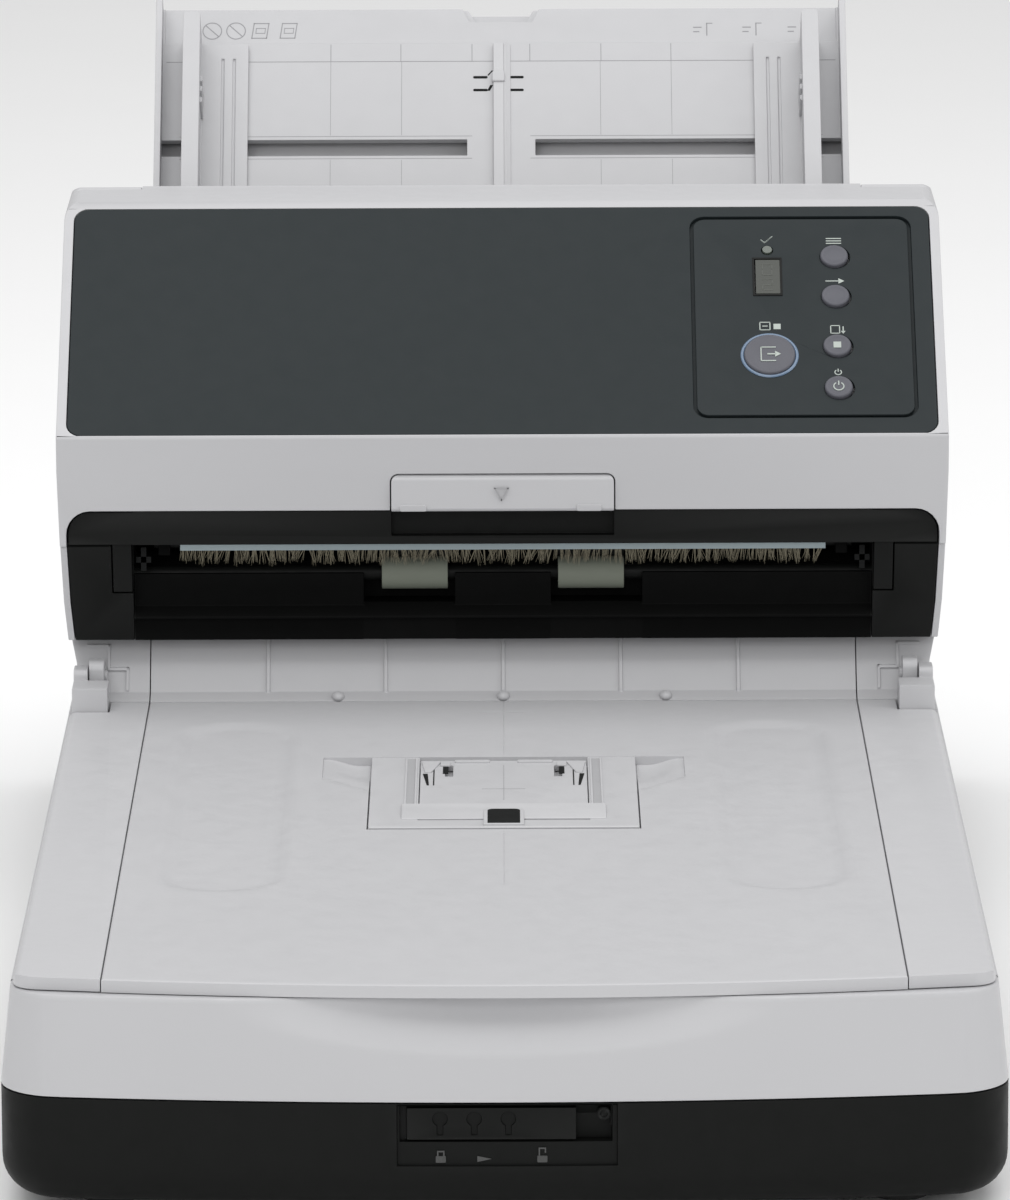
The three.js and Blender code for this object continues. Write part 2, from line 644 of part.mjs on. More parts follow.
function stopperTip() {
  const z = [COVER_BOTTOM_Z + STOPPER_FLOOR + GAP, COVER_Z - 0.5];
  const y = [STOPPER_Y[0] + 12 + GAP, STOPPER_Y[1] - 4];
  let solid = box([-27.4 + GAP, 27.4 - GAP], y, z);
  for (const [side] of SIDES) {
    const hook = box(onSide(side, 16.5, 19), [y[1] - 22, y[1] - 6], [z[0] - 1, z[1] + 1]);
    solid = solid.subtract(hook);
  }
  return solid.subtract(box([-4.5, 4.5], [y[0] - 1, y[0] + 11], [z[0] - 1, z[1] + 1]));
}

function buildCover() {
  piece('cover_center_panel', 'light', coverCenter());
  const padX = [-BED_HALF + 2, BED_HALF - 2];
  piece('document_pad', 'white', box(padX, [BED_FRONT + 2, BED_BACK - 2], [RIM_Z - WALL + 0.2, RIM_Z]));
  for (const [side, name] of SIDES) {
    piece(`cover_side_${name}`, 'light', coverSide(side));
    piece(`cover_hinge_${name}`, 'light', coverHinge(side));
  }
  piece('stopper_plate', 'light', stopperPlate());
  piece('stopper_tip', 'light', stopperTip());
}

// ---- Feeder: fixed lower half ----

// Direction, from the hub, of the point where a line through (y, z) touches a circle round the hub.
function tangentAngle(y, z, radius, turn) {
  const distance = Math.hypot(y - HUB[0], z - HUB[1]);
  return Math.atan2(z - HUB[1], y - HUB[0]) + turn * Math.acos(radius / distance);
}

// Side view of the fixed side block: a front that leans back towards the deck, the split line up to
// the hub, and a back that slopes away.
function sideOutline(inset) {
  const radius = HUB_RADIUS - inset;
  const front = [CHEEK_TOP_Y + inset, SPLIT_Z - inset];
  const shoulder = [FEEDER_Y + 170, TOP_Z - 17 - inset];
  const back = BASE_DEPTH - inset;
  const fromAngle = tangentAngle(...front, radius, -1);
  const toAngle = tangentAngle(...shoulder, radius, 1);
  const corner = 8;
  const shape = new THREE.Shape();
  shape.moveTo(SIDE_FRONT_Y + inset, FEEDER_Z);
  shape.lineTo(...front);
  shape.absarc(HUB[0], HUB[1], radius, fromAngle + Math.PI * 2, toAngle, true);
  shape.lineTo(...shoulder);
  shape.lineTo(back - corner, TOP_Z - 32 - inset);
  shape.quadraticCurveTo(back, TOP_Z - 36 - inset, back, TOP_Z - 46 - inset);
  shape.lineTo(back, FEEDER_Z);
  return shape;
}

// Front view of the feeder: rounded top corners, and sides that draw in towards the deck.
function feederFront(inset) {
  const right = [
    [FEEDER_HALF - 2.6 - inset, FEEDER_Z],
    [FEEDER_HALF - 1.5 - inset, FEEDER_Z + 14],
    [FEEDER_HALF - inset, SPLIT_Z + 26],
    [FEEDER_HALF - inset, TOP_Z - inset, 5],
  ];
  const left = right.map(([x, z, radius]) => [-x, z, radius]).reverse();
  return outline([...right, ...left]);
}

function sideCover(side) {
  const outer = alongX(sideOutline(0), onSide(side, PATH_HALF + GAP, FEEDER_HALF), 5);
  const reach = onSide(side, PATH_HALF, FEEDER_HALF);
  const inner = alongX(sideOutline(WALL), reach, 5);
  const front = box(reach, [0, HUB[0] - 14], [0, TOP_Z + 5]);
  const floor = box(reach, [0, BASE_DEPTH - WALL], [0, FEEDER_Z + 30]);
  const depth = [0, BASE_DEPTH + 1];
  const wholeFront = alongY(feederFront(0), depth);
  const skin = wholeFront.subtract(alongY(feederFront(SIDE_SKIN), depth))
    .intersect(box(onSide(side, FEEDER_HALF - 8, FEEDER_HALF + 1), depth, [0, TOP_Z + 1]));
  const flange = outer.subtract(inner).subtract(front).subtract(floor);
  const keep = box(onSide(side, 0, HALF), depth, [0, TOP_Z + 1]);
  return flange.add(outer.intersect(skin)).intersect(wholeFront).intersect(keep);
}

const EXIT_DRIVE = [EXIT_NIP[0], EXIT_NIP[1] - EXIT_ROLLER_RADIUS];
const FEED_DRIVE = [FEED_NIP[0], FEED_NIP[1] - FEED_ROLLER_RADIUS];
const PICK_DRIVE = [PICK_NIP[0], PICK_NIP[1] - PICK_ROLLER_RADIUS];
const EXIT_IDLER = [EXIT_NIP[0], EXIT_NIP[1] + 4.7];
const BRAKE = [FEED_NIP[0], FEED_NIP[1] + 7.2];
const IDLER_ARM = 6.8;
const EXIT_ROLLER_X = [18.6, 40.8];
const FEED_ROLLER_X = 36;
const PICK_ROLLER_X = 30;
const BELT_SIDE_X = [PATH_HALF + 9, PATH_HALF + 14];
const BELT_WELL = 8.2;
const BELT_WELL_X = [PATH_HALF + 7.1, PATH_HALF + 17.5];
const EXIT_GATE = [16.2, 46.9];

// Arms of the opening half that reach down into pockets in the side blocks.
const ARM_X = [0.6, 7];
const ARM_BOTTOM_Z = 110;
const ARM_BACK_Y = SIDE_FRONT_Y;

// Floor of the paper path, from the exit wall up to the foot of the chute, open below.
function pathFloor() {
  const wall = FEEDER_Y + 22.5;
  const end = FEEDER_Y + 110.5;
  const outer = outline([
    [wall, FEEDER_Z],
    [wall, EXIT_NIP[1] - 8, 2],
    [wall + 4.5, EXIT_NIP[1] - 0.2, 2],
    [FEEDER_Y + 45, 128.6],
    [FEED_NIP[0], FEED_NIP[1] - 1.7],
    [PICK_NIP[0] - 2, PICK_NIP[1] - 3],
    [FEEDER_Y + 104, 166.2],
    [end, 174.5],
    [end + 1.5, 172],
    [end + 1.5, FEEDER_Z],
  ]);
  const inner = outline([
    [wall + WALL, FEEDER_Z - 1],
    [wall + WALL, EXIT_NIP[1] - 9],
    [wall + 6.5, EXIT_NIP[1] - 4],
    [FEEDER_Y + 45, 125.6],
    [FEED_NIP[0], FEED_NIP[1] - 4.6],
    [PICK_NIP[0] - 1, PICK_NIP[1] - 6.2],
    [FEEDER_Y + 106, 163],
    [end - 1, 163],
    [end - 1, FEEDER_Z - 1],
  ]);
  return alongX(outer, [-PATH_HALF - 1, PATH_HALF + 1])
    .subtract(alongX(inner, [-PATH_HALF - 2, PATH_HALF + 2]));
}

// Front plates beside and between the exit rollers, joined by a ledge with a sloping top.
function exitPlates() {
  const front = SIDE_FRONT_Y - 0.4;
  const back = FEEDER_Y + 24;
  const ledge = outline([
    [front + 1, 105.2],
    [front - 3.2, 101],
    [front - 3.2, 100.2],
    [back, 100.2],
    [back, 105.2],
  ]);
  const half = PATH_HALF + 0.2;
  let solid = alongX(ledge, [-half, half]);
  const spans = [[-half, -EXIT_GATE[1]], [-EXIT_GATE[0], EXIT_GATE[0]], [EXIT_GATE[1], half]];
  for (const x of spans) {
    const hollow = box([x[0] + WALL, x[1] - WALL], [front + WALL, back + 1], [FEEDER_Z - 1, 99]);
    solid = solid.add(box(x, [front, back], [FEEDER_Z, 115.2]).subtract(hollow));
  }
  return solid;
}

const READ_LINE = [FEEDER_Y + 31, FEEDER_Y + 41];

// A thin glass strip across the path, its top edge on the line from (READ_LINE[0], z0) to (READ_LINE[1], z1).
function readGlass(z0, z1, down, grow, reach) {
  return alongX(outline([
    [READ_LINE[0] - grow, z0 + grow * 0.6],
    [READ_LINE[1] + grow, z1 + grow * 0.6],
    [READ_LINE[1] + grow, z1 - down - grow],
    [READ_LINE[0] - grow, z0 - down - grow],
  ]), [-reach - grow, reach + grow]);
}

const GLASS_REACH = PATH_HALF - 12;

function feederLowerCase() {
  const top = TOP_Z + 1;
  let solid = pathFloor();
  for (const [side] of SIDES) {
    const reach = onSide(side, PATH_HALF + GAP, FEEDER_HALF);
    const block = alongX(sideOutline(WALL + GAP), reach, 5)
      .add(alongX(sideOutline(0), reach, 5).intersect(box(reach, [0, HUB[0] - 14.6], [0, top])))
      .intersect(alongY(feederFront(SIDE_SKIN + GAP), [0, BASE_DEPTH - WALL - GAP]));
    const wellX = onSide(side, ...BELT_WELL_X);
    const well = box(wellX, [SIDE_FRONT_Y + 8, BASE_DEPTH - 12], [0, 112]);
    const loop = beltLoop([EXIT_DRIVE, FEED_DRIVE, PICK_DRIVE], BELT_WELL);
    const beltWell = alongX(loop, wellX);
    const armPocket = box(
      onSide(side, PATH_HALF, PATH_HALF + ARM_X[1] + SLIDE_GAP),
      [FEEDER_Y - 5, ARM_BACK_Y + SLIDE_GAP],
      [ARM_BOTTOM_Z - SLIDE_GAP, SPLIT_Z + 20],
    );
    solid = solid.add(block.subtract(well).subtract(beltWell).subtract(armPocket));
    solid = solid.subtract(rod(HUB, HUB_PIN + 0.3, onSide(side, PATH_HALF - 2, PATH_HALF + 9)));
  }
  solid = solid.add(exitPlates());
  for (const centre of [EXIT_DRIVE, FEED_DRIVE, PICK_DRIVE]) {
    solid = solid.subtract(rod(centre, SHAFT_RADIUS + 0.3, [-PATH_HALF - 16, PATH_HALF + 16]));
  }
  for (const [side] of SIDES) {
    const roller = onSide(side, EXIT_ROLLER_X[0] - 1, EXIT_ROLLER_X[1] + 1);
    solid = solid.subtract(rod(EXIT_DRIVE, EXIT_ROLLER_RADIUS + 1, roller));
  }
  solid = solid.subtract(rod(FEED_DRIVE, FEED_ROLLER_RADIUS + 1, [-FEED_ROLLER_X - 1, FEED_ROLLER_X + 1]));
  solid = solid.subtract(rod(PICK_DRIVE, PICK_ROLLER_RADIUS + 1, [-PICK_ROLLER_X - 1, PICK_ROLLER_X + 1]));
  return solid.subtract(readGlass(122.4, 126.9, 5, GAP, GLASS_REACH));
}

function rearCover() {
  const end = BASE_DEPTH - 8;
  const back = new THREE.Shape();
  back.moveTo(BASE_DEPTH, FEEDER_Z);
  back.lineTo(BASE_DEPTH, TOP_Z - 46);
  back.quadraticCurveTo(BASE_DEPTH, TOP_Z - 36, end, TOP_Z - 32);
  back.lineTo(FEEDER_Y + 170, TOP_Z - 19);
  back.lineTo(FEEDER_Y + 156, TOP_Z - 17.4);
  back.lineTo(FEEDER_Y + 156, TOP_Z - 17.4 - WALL);
  back.lineTo(FEEDER_Y + 169.6, TOP_Z - 19 - WALL);
  back.lineTo(end - 1, TOP_Z - 32 - WALL);
  back.quadraticCurveTo(BASE_DEPTH - WALL, TOP_Z - 37, BASE_DEPTH - WALL, TOP_Z - 46);
  back.lineTo(BASE_DEPTH - WALL, FEEDER_Z);
  return alongX(back, [-PATH_HALF, PATH_HALF], 8);
}

function tubeRoller(centre, radius, x) {
  return rod(centre, radius, x).subtract(rod(centre, SHAFT_RADIUS + 0.05, [x[0] - 1, x[1] + 1]));
}

// Drive shaft with a toothed pulley moulded at its right end.
function driveShaft(centre) {
  return rod(centre, SHAFT_RADIUS, [-PATH_HALF - 8, PATH_HALF + 15])
    .add(rod(centre, PULLEY_RADIUS, [BELT_SIDE_X[0] - 1.6, BELT_SIDE_X[1] + 1.2]));
}

function buildFeederLower() {
  piece('exit_ramp', 'light', exitRamp());
  piece('feeder_lower_case', 'dark', feederLowerCase());
  piece('feeder_rear_cover', 'light', rearCover());
  for (const [side, name] of SIDES) piece(`feeder_side_${name}`, 'light', sideCover(side));
  piece('lower_read_glass', 'glass', readGlass(122.4, 126.9, 2.2, 0, GLASS_REACH));
  piece('exit_drive_shaft', 'dark', driveShaft(EXIT_DRIVE));
  for (const [side, name] of SIDES) {
    const x = onSide(side, ...EXIT_ROLLER_X);
    piece(`exit_roller_${name}`, 'roller', tubeRoller(EXIT_DRIVE, EXIT_ROLLER_RADIUS, x));
  }
  piece('feed_drive_shaft', 'steel', driveShaft(FEED_DRIVE));
  piece('feed_roller', 'roller', tubeRoller(FEED_DRIVE, FEED_ROLLER_RADIUS, [-FEED_ROLLER_X, FEED_ROLLER_X]));
  piece('pick_drive_shaft', 'steel', driveShaft(PICK_DRIVE));
  piece('pick_roller', 'roller', tubeRoller(PICK_DRIVE, PICK_ROLLER_RADIUS, [-PICK_ROLLER_X, PICK_ROLLER_X]));
  const centres = [EXIT_DRIVE, FEED_DRIVE, PICK_DRIVE];
  const inner = PULLEY_RADIUS + GAP;
  const belt = alongX(beltLoop(centres, inner + BELT_THICKNESS), BELT_SIDE_X, 5)
    .subtract(alongX(beltLoop(centres, inner), [BELT_SIDE_X[0] - 1, BELT_SIDE_X[1] + 1], 5));
  piece('feeder_belt', 'rubber', belt);
}

// ---- Feeder: opening upper half ----

const INNER_HALF = FEEDER_HALF - LIP;

function upperOutline() {
  return outline([
    [FEEDER_Y, SPLIT_Z + 0.6],
    [FEEDER_Y, BAND_TOP_Z, 2],
    [FEEDER_Y + PANEL_RISE[0], TOP_Z - 1.9, 5],
    [FEEDER_Y + PANEL_RISE[0] + 4, TOP_Z],
    [TOP_BACK_Y, TOP_Z],
    [TOP_BACK_Y, SPLIT_Z + 0.6],
  ]);
}

function panelPlate(inset, depth) {
  return roundRect([-PANEL_HALF + inset, PANEL_HALF - inset], [0.8 + inset, PANEL_LENGTH - inset], depth);
}

function panelOpening() {
  const settings = { depth: 12, bevelEnabled: false, curveSegments: 3 };
  const geometry = new THREE.ExtrudeGeometry(panelPlate(-GAP, 5.4), settings);
  geometry.translate(0, 0, -8);
  panelFrame.updateMatrix();
  geometry.applyMatrix4(panelFrame.matrix);
  return solidFrom(geometry);
}

// Front view of the dark mouth under the light band, with round upper corners.
function mouthOutline(inset) {
  const half = INNER_HALF - inset;
  return roundRect([-half, half], [-20, BAND_BOTTOM_Z - inset], MOUTH_CORNER - inset);
}

function tabOutline(grow) {
  const half = TAB_WIDTH / 2 + grow;
  return roundRect([-half, half], [BAND_BOTTOM_Z - 20, BAND_BOTTOM_Z + TAB_HEIGHT + grow], 2.4 + grow);
}

function feederTopCover() {
  const cavity = outline([
    [FEEDER_Y + LIP, 0],
    [FEEDER_Y + LIP, BAND_TOP_Z - 2],
    [FEEDER_Y + PANEL_RISE[0] + 2.6, TOP_Z - 4.4],
    [FEEDER_Y + PANEL_RISE[0] + 4, TOP_Z - 2.8],
    [BASE_DEPTH, TOP_Z - 2.8],
    [BASE_DEPTH, 0],
  ]);
  const mouth = alongY(mouthOutline(0), [0, FEEDER_Y + LIP + 1]);
  const tabSlot = alongY(tabOutline(SLIDE_GAP), [0, FEEDER_Y + LIP + 1]);
  let solid = alongX(upperOutline(), [-FEEDER_HALF, FEEDER_HALF])
    .intersect(alongY(feederFront(0), [0, BASE_DEPTH]))
    .subtract(alongX(cavity, [-INNER_HALF, INNER_HALF]))
    .subtract(mouth)
    .subtract(tabSlot)
    .subtract(panelOpening());
  for (const [side] of SIDES) {
    solid = solid.subtract(alongX(sideOutline(-SPLIT_GAP), onSide(side, PATH_HALF + GAP / 2, HALF + 1), 5));
  }
  return solid;
}

// Black inner frame: the front band, the upper wall of the paper path and the front wall of the feed mouth.
function feederInnerFrame() {
  const band = FEEDER_Y + 1.5;
  const throat = [FEEDER_Y + 84.5, 185.2];
  const body = outline([
    [band, SPLIT_Z + 0.8],
    [band, BAND_BOTTOM_Z - GAP],
    [FEEDER_Y + LIP + 1.5, BAND_BOTTOM_Z - GAP],
    [FEEDER_Y + LIP + 1.5, BAND_TOP_Z - 3],
    [FEEDER_Y + PANEL_RISE[0] + 0.6, TOP_Z - 7.8],
    [FEEDER_Y + PANEL_RISE[0] + 5.2, TOP_Z - 3.4],
    [TOP_BACK_Y - 0.6, TOP_Z - 3.4],
    throat,
    [PICK_NIP[0] - 2.5, PICK_NIP[1] + 3.2],
    [FEED_NIP[0], FEED_NIP[1] + 2],
    [FEEDER_Y + 45, 132.9],
    [FEEDER_Y + 27, SPLIT_Z + 0.8],
  ]);
  const tray = outline([
    [FEEDER_Y + 7.5, SPLIT_Z + 6],
    [FEEDER_Y + 7.5, BAND_TOP_Z + 6],
    [FEEDER_Y + 79, TOP_Z - 1],
    [FEEDER_Y + 81.6, throat[1] + 3],
    [PICK_NIP[0] - 6, PICK_NIP[1] + 6.5],
    [FEED_NIP[0] - 2, FEED_NIP[1] + 6.2],
    [FEEDER_Y + 43, 137],
    [FEEDER_Y + 29, SPLIT_Z + 6],
  ]);
  const pocket = outline([
    [FEEDER_Y + 86, TOP_Z],
    [FEEDER_Y + 110, TOP_Z],
    [FEEDER_Y + 88, 200],
  ]);
  const wide = outline([
    [band, SPLIT_Z + 0.8],
    [band, BAND_BOTTOM_Z - GAP],
    [FEEDER_Y + 9, BAND_BOTTOM_Z - GAP],
    [FEEDER_Y + 9, SPLIT_Z + 0.8],
  ]);
  const inside = [-PATH_HALF + WALL, PATH_HALF - WALL];
  const recess = box([-TAB_WIDTH / 2, TAB_WIDTH / 2], [0, FEEDER_Y + 5.2], [130.3, BAND_BOTTOM_Z]);
  const idlerSlot = rod(EXIT_IDLER, 5.6, [-EXIT_ROLLER_X[1] - 1, EXIT_ROLLER_X[1] + 1]);
  const idlerBore = rod(EXIT_IDLER, 1.8, [-PATH_HALF + 6, PATH_HALF - 6]);
  const idlerArm = [
    [EXIT_IDLER[0] - IDLER_ARM / 2, EXIT_IDLER[0] + IDLER_ARM / 2],
    [EXIT_IDLER[1] - IDLER_ARM / 2, SPLIT_Z + 2],
  ];
  const frontBand = alongX(wide, [-INNER_HALF, INNER_HALF]).intersect(alongY(mouthOutline(0.6), [0, HUB[0]]));
  let solid = alongX(body, [-PATH_HALF, PATH_HALF])
    .subtract(alongX(tray, inside)).subtract(alongX(pocket, inside))
    .add(frontBand)
    .subtract(recess).subtract(idlerSlot)
    .subtract(rod(BRAKE, FEED_ROLLER_RADIUS + 1, [-FEED_ROLLER_X - 1, FEED_ROLLER_X + 1]));
  for (const [side] of SIDES) {
    const bearing = box(onSide(side, PATH_HALF - 12, PATH_HALF - 8), ...idlerArm);
    const arm = alongX(outline([
      [SIDE_FRONT_Y - 5.2, ARM_BOTTOM_Z],
      [ARM_BACK_Y, ARM_BOTTOM_Z],
      [ARM_BACK_Y, SPLIT_Z + 6],
      [CHEEK_TOP_Y + 0.3, SPLIT_Z + 6],
      [CHEEK_TOP_Y + 0.3, SPLIT_Z],
    ]), onSide(side, PATH_HALF + ARM_X[0], PATH_HALF + ARM_X[1]));
    const ear = rod(HUB, 4, onSide(side, PATH_HALF - 4, PATH_HALF));
    const pin = rod(HUB, HUB_PIN, onSide(side, PATH_HALF - 1, PATH_HALF + 7));
    const fixedHalf = alongX(sideOutline(-SPLIT_GAP), onSide(side, PATH_HALF + GAP / 2, HALF + 1), 5);
    solid = solid.subtract(fixedHalf).add(bearing).add(arm).add(ear).add(pin);
  }
  const brakeBore = rod(BRAKE, SHAFT_RADIUS + 0.3, [-FEED_ROLLER_X - 9, FEED_ROLLER_X + 9]);
  return solid.subtract(idlerBore).subtract(brakeBore)
    .subtract(readGlass(131.2, 135.2, 4.4, GAP, GLASS_REACH));
}

function releaseTab() {
  const bottom = BAND_BOTTOM_Z - GAP / 2;
  const top = BAND_BOTTOM_Z + TAB_HEIGHT;
  const side = outline([
    [FEEDER_Y - 2.2, bottom, 1.2],
    [FEEDER_Y - 1, top - 1, 1.4],
    [FEEDER_Y + 1, top],
    [FEEDER_Y + 2.4, top],
    [FEEDER_Y + 2.4, bottom + 3],
    [FEEDER_Y + 0.4, bottom],
  ]);
  return alongX(side, [-TAB_WIDTH / 2, TAB_WIDTH / 2]).intersect(alongY(tabOutline(0), [0, BASE_DEPTH]));
}

function exitIdler() {
  let solid = rod(EXIT_IDLER, 1.5, [-PATH_HALF + 6.4, PATH_HALF - 6.4], 8);
  for (const [side] of SIDES) solid = solid.add(rod(EXIT_IDLER, 4.4, onSide(side, ...EXIT_ROLLER_X)));
  return solid;
}

function brakeRoller() {
  return rod(BRAKE, FEED_ROLLER_RADIUS, [-FEED_ROLLER_X, FEED_ROLLER_X])
    .add(rod(BRAKE, SHAFT_RADIUS, [-FEED_ROLLER_X - 8, FEED_ROLLER_X + 8]));
}

// The brush strip hangs behind the black band and its bristles reach down over the exit rollers.
const BRUSH_Y = [FEEDER_Y + 9.4, FEEDER_Y + 10.8];
const BRUSH_HALF = PATH_HALF - 15.5;

function brushBristles() {
  const corners = [[-BRUSH_HALF + 1, 123.4], [BRUSH_HALF - 1, 123.4]];
  const tufts = 40;
  const pitch = (2 * BRUSH_HALF - 2) / tufts;
  for (let i = tufts; i > 0; i -= 1) {
    const x = -BRUSH_HALF + 1 + i * pitch;
    corners.push([x, 118.6], [x - pitch / 2, 117.6]);
  }
  corners.push([-BRUSH_HALF + 1, 118.6]);
  return alongY(outline(corners), [BRUSH_Y[0] + 0.2, BRUSH_Y[1] - 0.2]);
}

// ---- Operator panel, in its own tilted frame: X across, Y up the slope, Z out of the surface ----

const CONTROL_X = [PANEL_HALF - CONTROL_MARGIN - CONTROL_WIDTH, PANEL_HALF - CONTROL_MARGIN];
const CONTROL_S = [CONTROL_ENDS[0], PANEL_LENGTH - CONTROL_ENDS[1]];

// A height on the control panel, as a share of the way up it.
function upControl(share) {
  return CONTROL_S[0] + share * (CONTROL_S[1] - CONTROL_S[0]);
}

const KEY_X = CONTROL_X[0] + 48;
const SCAN = [CONTROL_X[0] + 25, upControl(0.2989)];
const KEYS = [
  ['menu_button', upControl(0.8023)],
  ['function_button', upControl(0.5977)],
  ['stop_button', upControl(0.3443)],
  ['power_button', upControl(0.1341)],
];
const DISPLAY = { x: [SCAN[0] - 4.2, SCAN[0] + 4.2], s: [upControl(0.6136), upControl(0.7886)] };
const LAMP = [SCAN[0], upControl(0.8386)];

function operatorPanel() {
  const plate = alongZ(panelPlate(0, 5), [-PANEL_THICKNESS, 0]);
  const grow = CONTROL_GROOVE;
  const spread = (range, by) => [range[0] - by, range[1] + by];
  const opening = roundRect(spread(CONTROL_X, grow), spread(CONTROL_S, grow), 5);
  return plate.subtract(alongZ(opening, [-1.6, 1]))
    .subtract(box(spread(CONTROL_X, -3), spread(CONTROL_S, -3), [-5, 1]));
}

function controlPanel() {
  let plate = alongZ(roundRect(CONTROL_X, CONTROL_S, 4), [-1.6 + GAP, 0]);
  plate = plate.subtract(alongZ(disc(SCAN, SCAN_RADIUS + SLIDE_GAP), [-4, 1], ROUND));
  for (const [, s] of KEYS) {
    plate = plate.subtract(alongZ(disc([KEY_X, s], KEY_RADIUS + SLIDE_GAP), [-4, 1], ROUND));
  }
  plate = plate.subtract(alongZ(disc(LAMP, 1.7 + GAP), [-4, 1], 8));
  return plate.subtract(box(
    [DISPLAY.x[0] - GAP, DISPLAY.x[1] + GAP],
    [DISPLAY.s[0] - GAP, DISPLAY.s[1] + GAP],
    [-4, 1],
  ));
}

// A round key: a dished cap on a guide stem.
function key(centre, radius) {
  const profile = [
    new THREE.Vector2(0, -2.8),
    new THREE.Vector2(radius, -2.8),
    new THREE.Vector2(radius, KEY_PROUD - 0.5),
    new THREE.Vector2(radius - 0.5, KEY_PROUD),
    new THREE.Vector2(radius - 1.4, KEY_PROUD - 0.1),
    new THREE.Vector2(0, KEY_PROUD - 0.35),
  ];
  const geometry = new THREE.LatheGeometry(profile, 2 * ROUND);
  geometry.rotateX(Math.PI / 2);
  geometry.translate(centre[0], centre[1], 0);
  return solidFrom(geometry);
}

function buildFeederUpper() {
  piece('feeder_top_cover', 'light', feederTopCover());
  piece('feeder_inner_frame', 'dark', feederInnerFrame());
  piece('release_tab', 'light', releaseTab());
  piece('upper_read_glass', 'glass', readGlass(131.2, 135.2, 2.2, 0, GLASS_REACH));
  piece('exit_idler', 'dark', exitIdler());
  piece('brake_roller', 'roller', brakeRoller());
  piece('brush_strip', 'steel', box([-BRUSH_HALF, BRUSH_HALF], BRUSH_Y, [123.8, SPLIT_Z + 0.4]));
  piece('brush_bristles', 'bristle', brushBristles());
  piece('operator_panel', 'panel', operatorPanel(), panelFrame);
  piece('control_panel', 'panel', controlPanel(), panelFrame);
  piece('display_window', 'display', box(DISPLAY.x, DISPLAY.s, [-1.6 + GAP, 0.2]), panelFrame);
  piece('status_lamp', 'lens', alongZ(disc(LAMP, 1.7), [-1.6 + GAP, 0.5], 16), panelFrame);
  piece('scan_button', 'key', key(SCAN, SCAN_RADIUS), panelFrame);
  for (const [name, s] of KEYS) piece(name, 'key', key([KEY_X, s], KEY_RADIUS), panelFrame);
}

// ---- Paper chute, in its own tilted frame: X across, Y up the slope, Z out of the paper surface ----

const RACK_Z = [-6.6, -3.6];
const PINION_RADIUS = (PINION_TEETH * TOOTH_PITCH) / (2 * Math.PI);
const EXTENSION_Z = [-5.4, -3];
const EXTENSION_BOTTOM = 29.5;
const TRAY_FLOOR_Z = -CHUTE_THICKNESS;

function chuteTray() {
  const half = CHUTE_HALF;
  let solid = box([-half, half], [CHUTE_BOTTOM, CHUTE_TOP], [TRAY_FLOOR_Z, 0]);
  const thumbBottom = CHUTE_TOP - 5.4;
  const thumb = outline([[-11, thumbBottom], [11, thumbBottom], [14, CHUTE_TOP + 1], [-14, CHUTE_TOP + 1]]);
  const step = box([-half + 3, half - 3], [GUIDE_TOP + 1.5, CHUTE_TOP + 1], [-0.5, 1]);
  solid = solid.subtract(alongZ(thumb, [-CHUTE_SKIN - 0.5, 1])).subtract(step);
  const outer = EXTENSION_WIDTH / 2 + SLIDE_GAP;
  const sleeve = [EXTENSION_Z[0] - GAP, EXTENSION_Z[1] + GAP];
  solid = solid.subtract(box([-outer, outer], [EXTENSION_BOTTOM - 1, CHUTE_TOP + 1], sleeve));
  const rackRoom = [RACK_Z[0] - GAP, -CHUTE_SKIN];
  const channel = box([-half + 1.8, half - 1.8], [RACK_S - 11.5, RACK_S + 11.5], rackRoom);
  solid = solid.subtract(channel);
  for (const [side] of SIDES) {
    const slot = box(onSide(side, 12, half - 1.8), [RACK_S - 3.2, RACK_S + 3.2], [-CHUTE_SKIN - 1, 1]);
    const under = [TRAY_FLOOR_Z - 1, -CHUTE_SKIN];
    const lower = box(onSide(side, 10, half - WALL), [CHUTE_BOTTOM + WALL, RACK_S - 14], under);
    const upper = box(onSide(side, outer + WALL, half - WALL), [RACK_S + 14, CHUTE_TOP - WALL], under);
    const rail = box(onSide(side, half - 2.2, half), [CHUTE_BOTTOM + 20, CHUTE_TOP], [-1, CHUTE_WALL_HEIGHT]);
    solid = solid.subtract(slot).subtract(lower).subtract(upper).add(rail);
  }
  return solid.add(box([-2, 2], [CHUTE_BOTTOM + 22, GUIDE_TOP], [-0.5, 1.4]));
}

// Teeth along a rack from one x to another, with a gap at x = 0 for the pinion's tooth.
function rackTeeth(from, to, pitchLine, out) {
  const corners = [];
  const first = Math.ceil(from / TOOTH_PITCH - 0.5);
  const last = Math.floor(to / TOOTH_PITCH - 0.5);
  for (let i = first; i <= last; i += 1) {
    const x = (i + 0.5) * TOOTH_PITCH;
    const root = pitchLine + out * 1.2;
    const crest = pitchLine - out * 0.7;
    corners.push([x - 0.85, root], [x - 0.3, crest], [x + 0.3, crest], [x + 0.85, root]);
  }
  return corners;
}

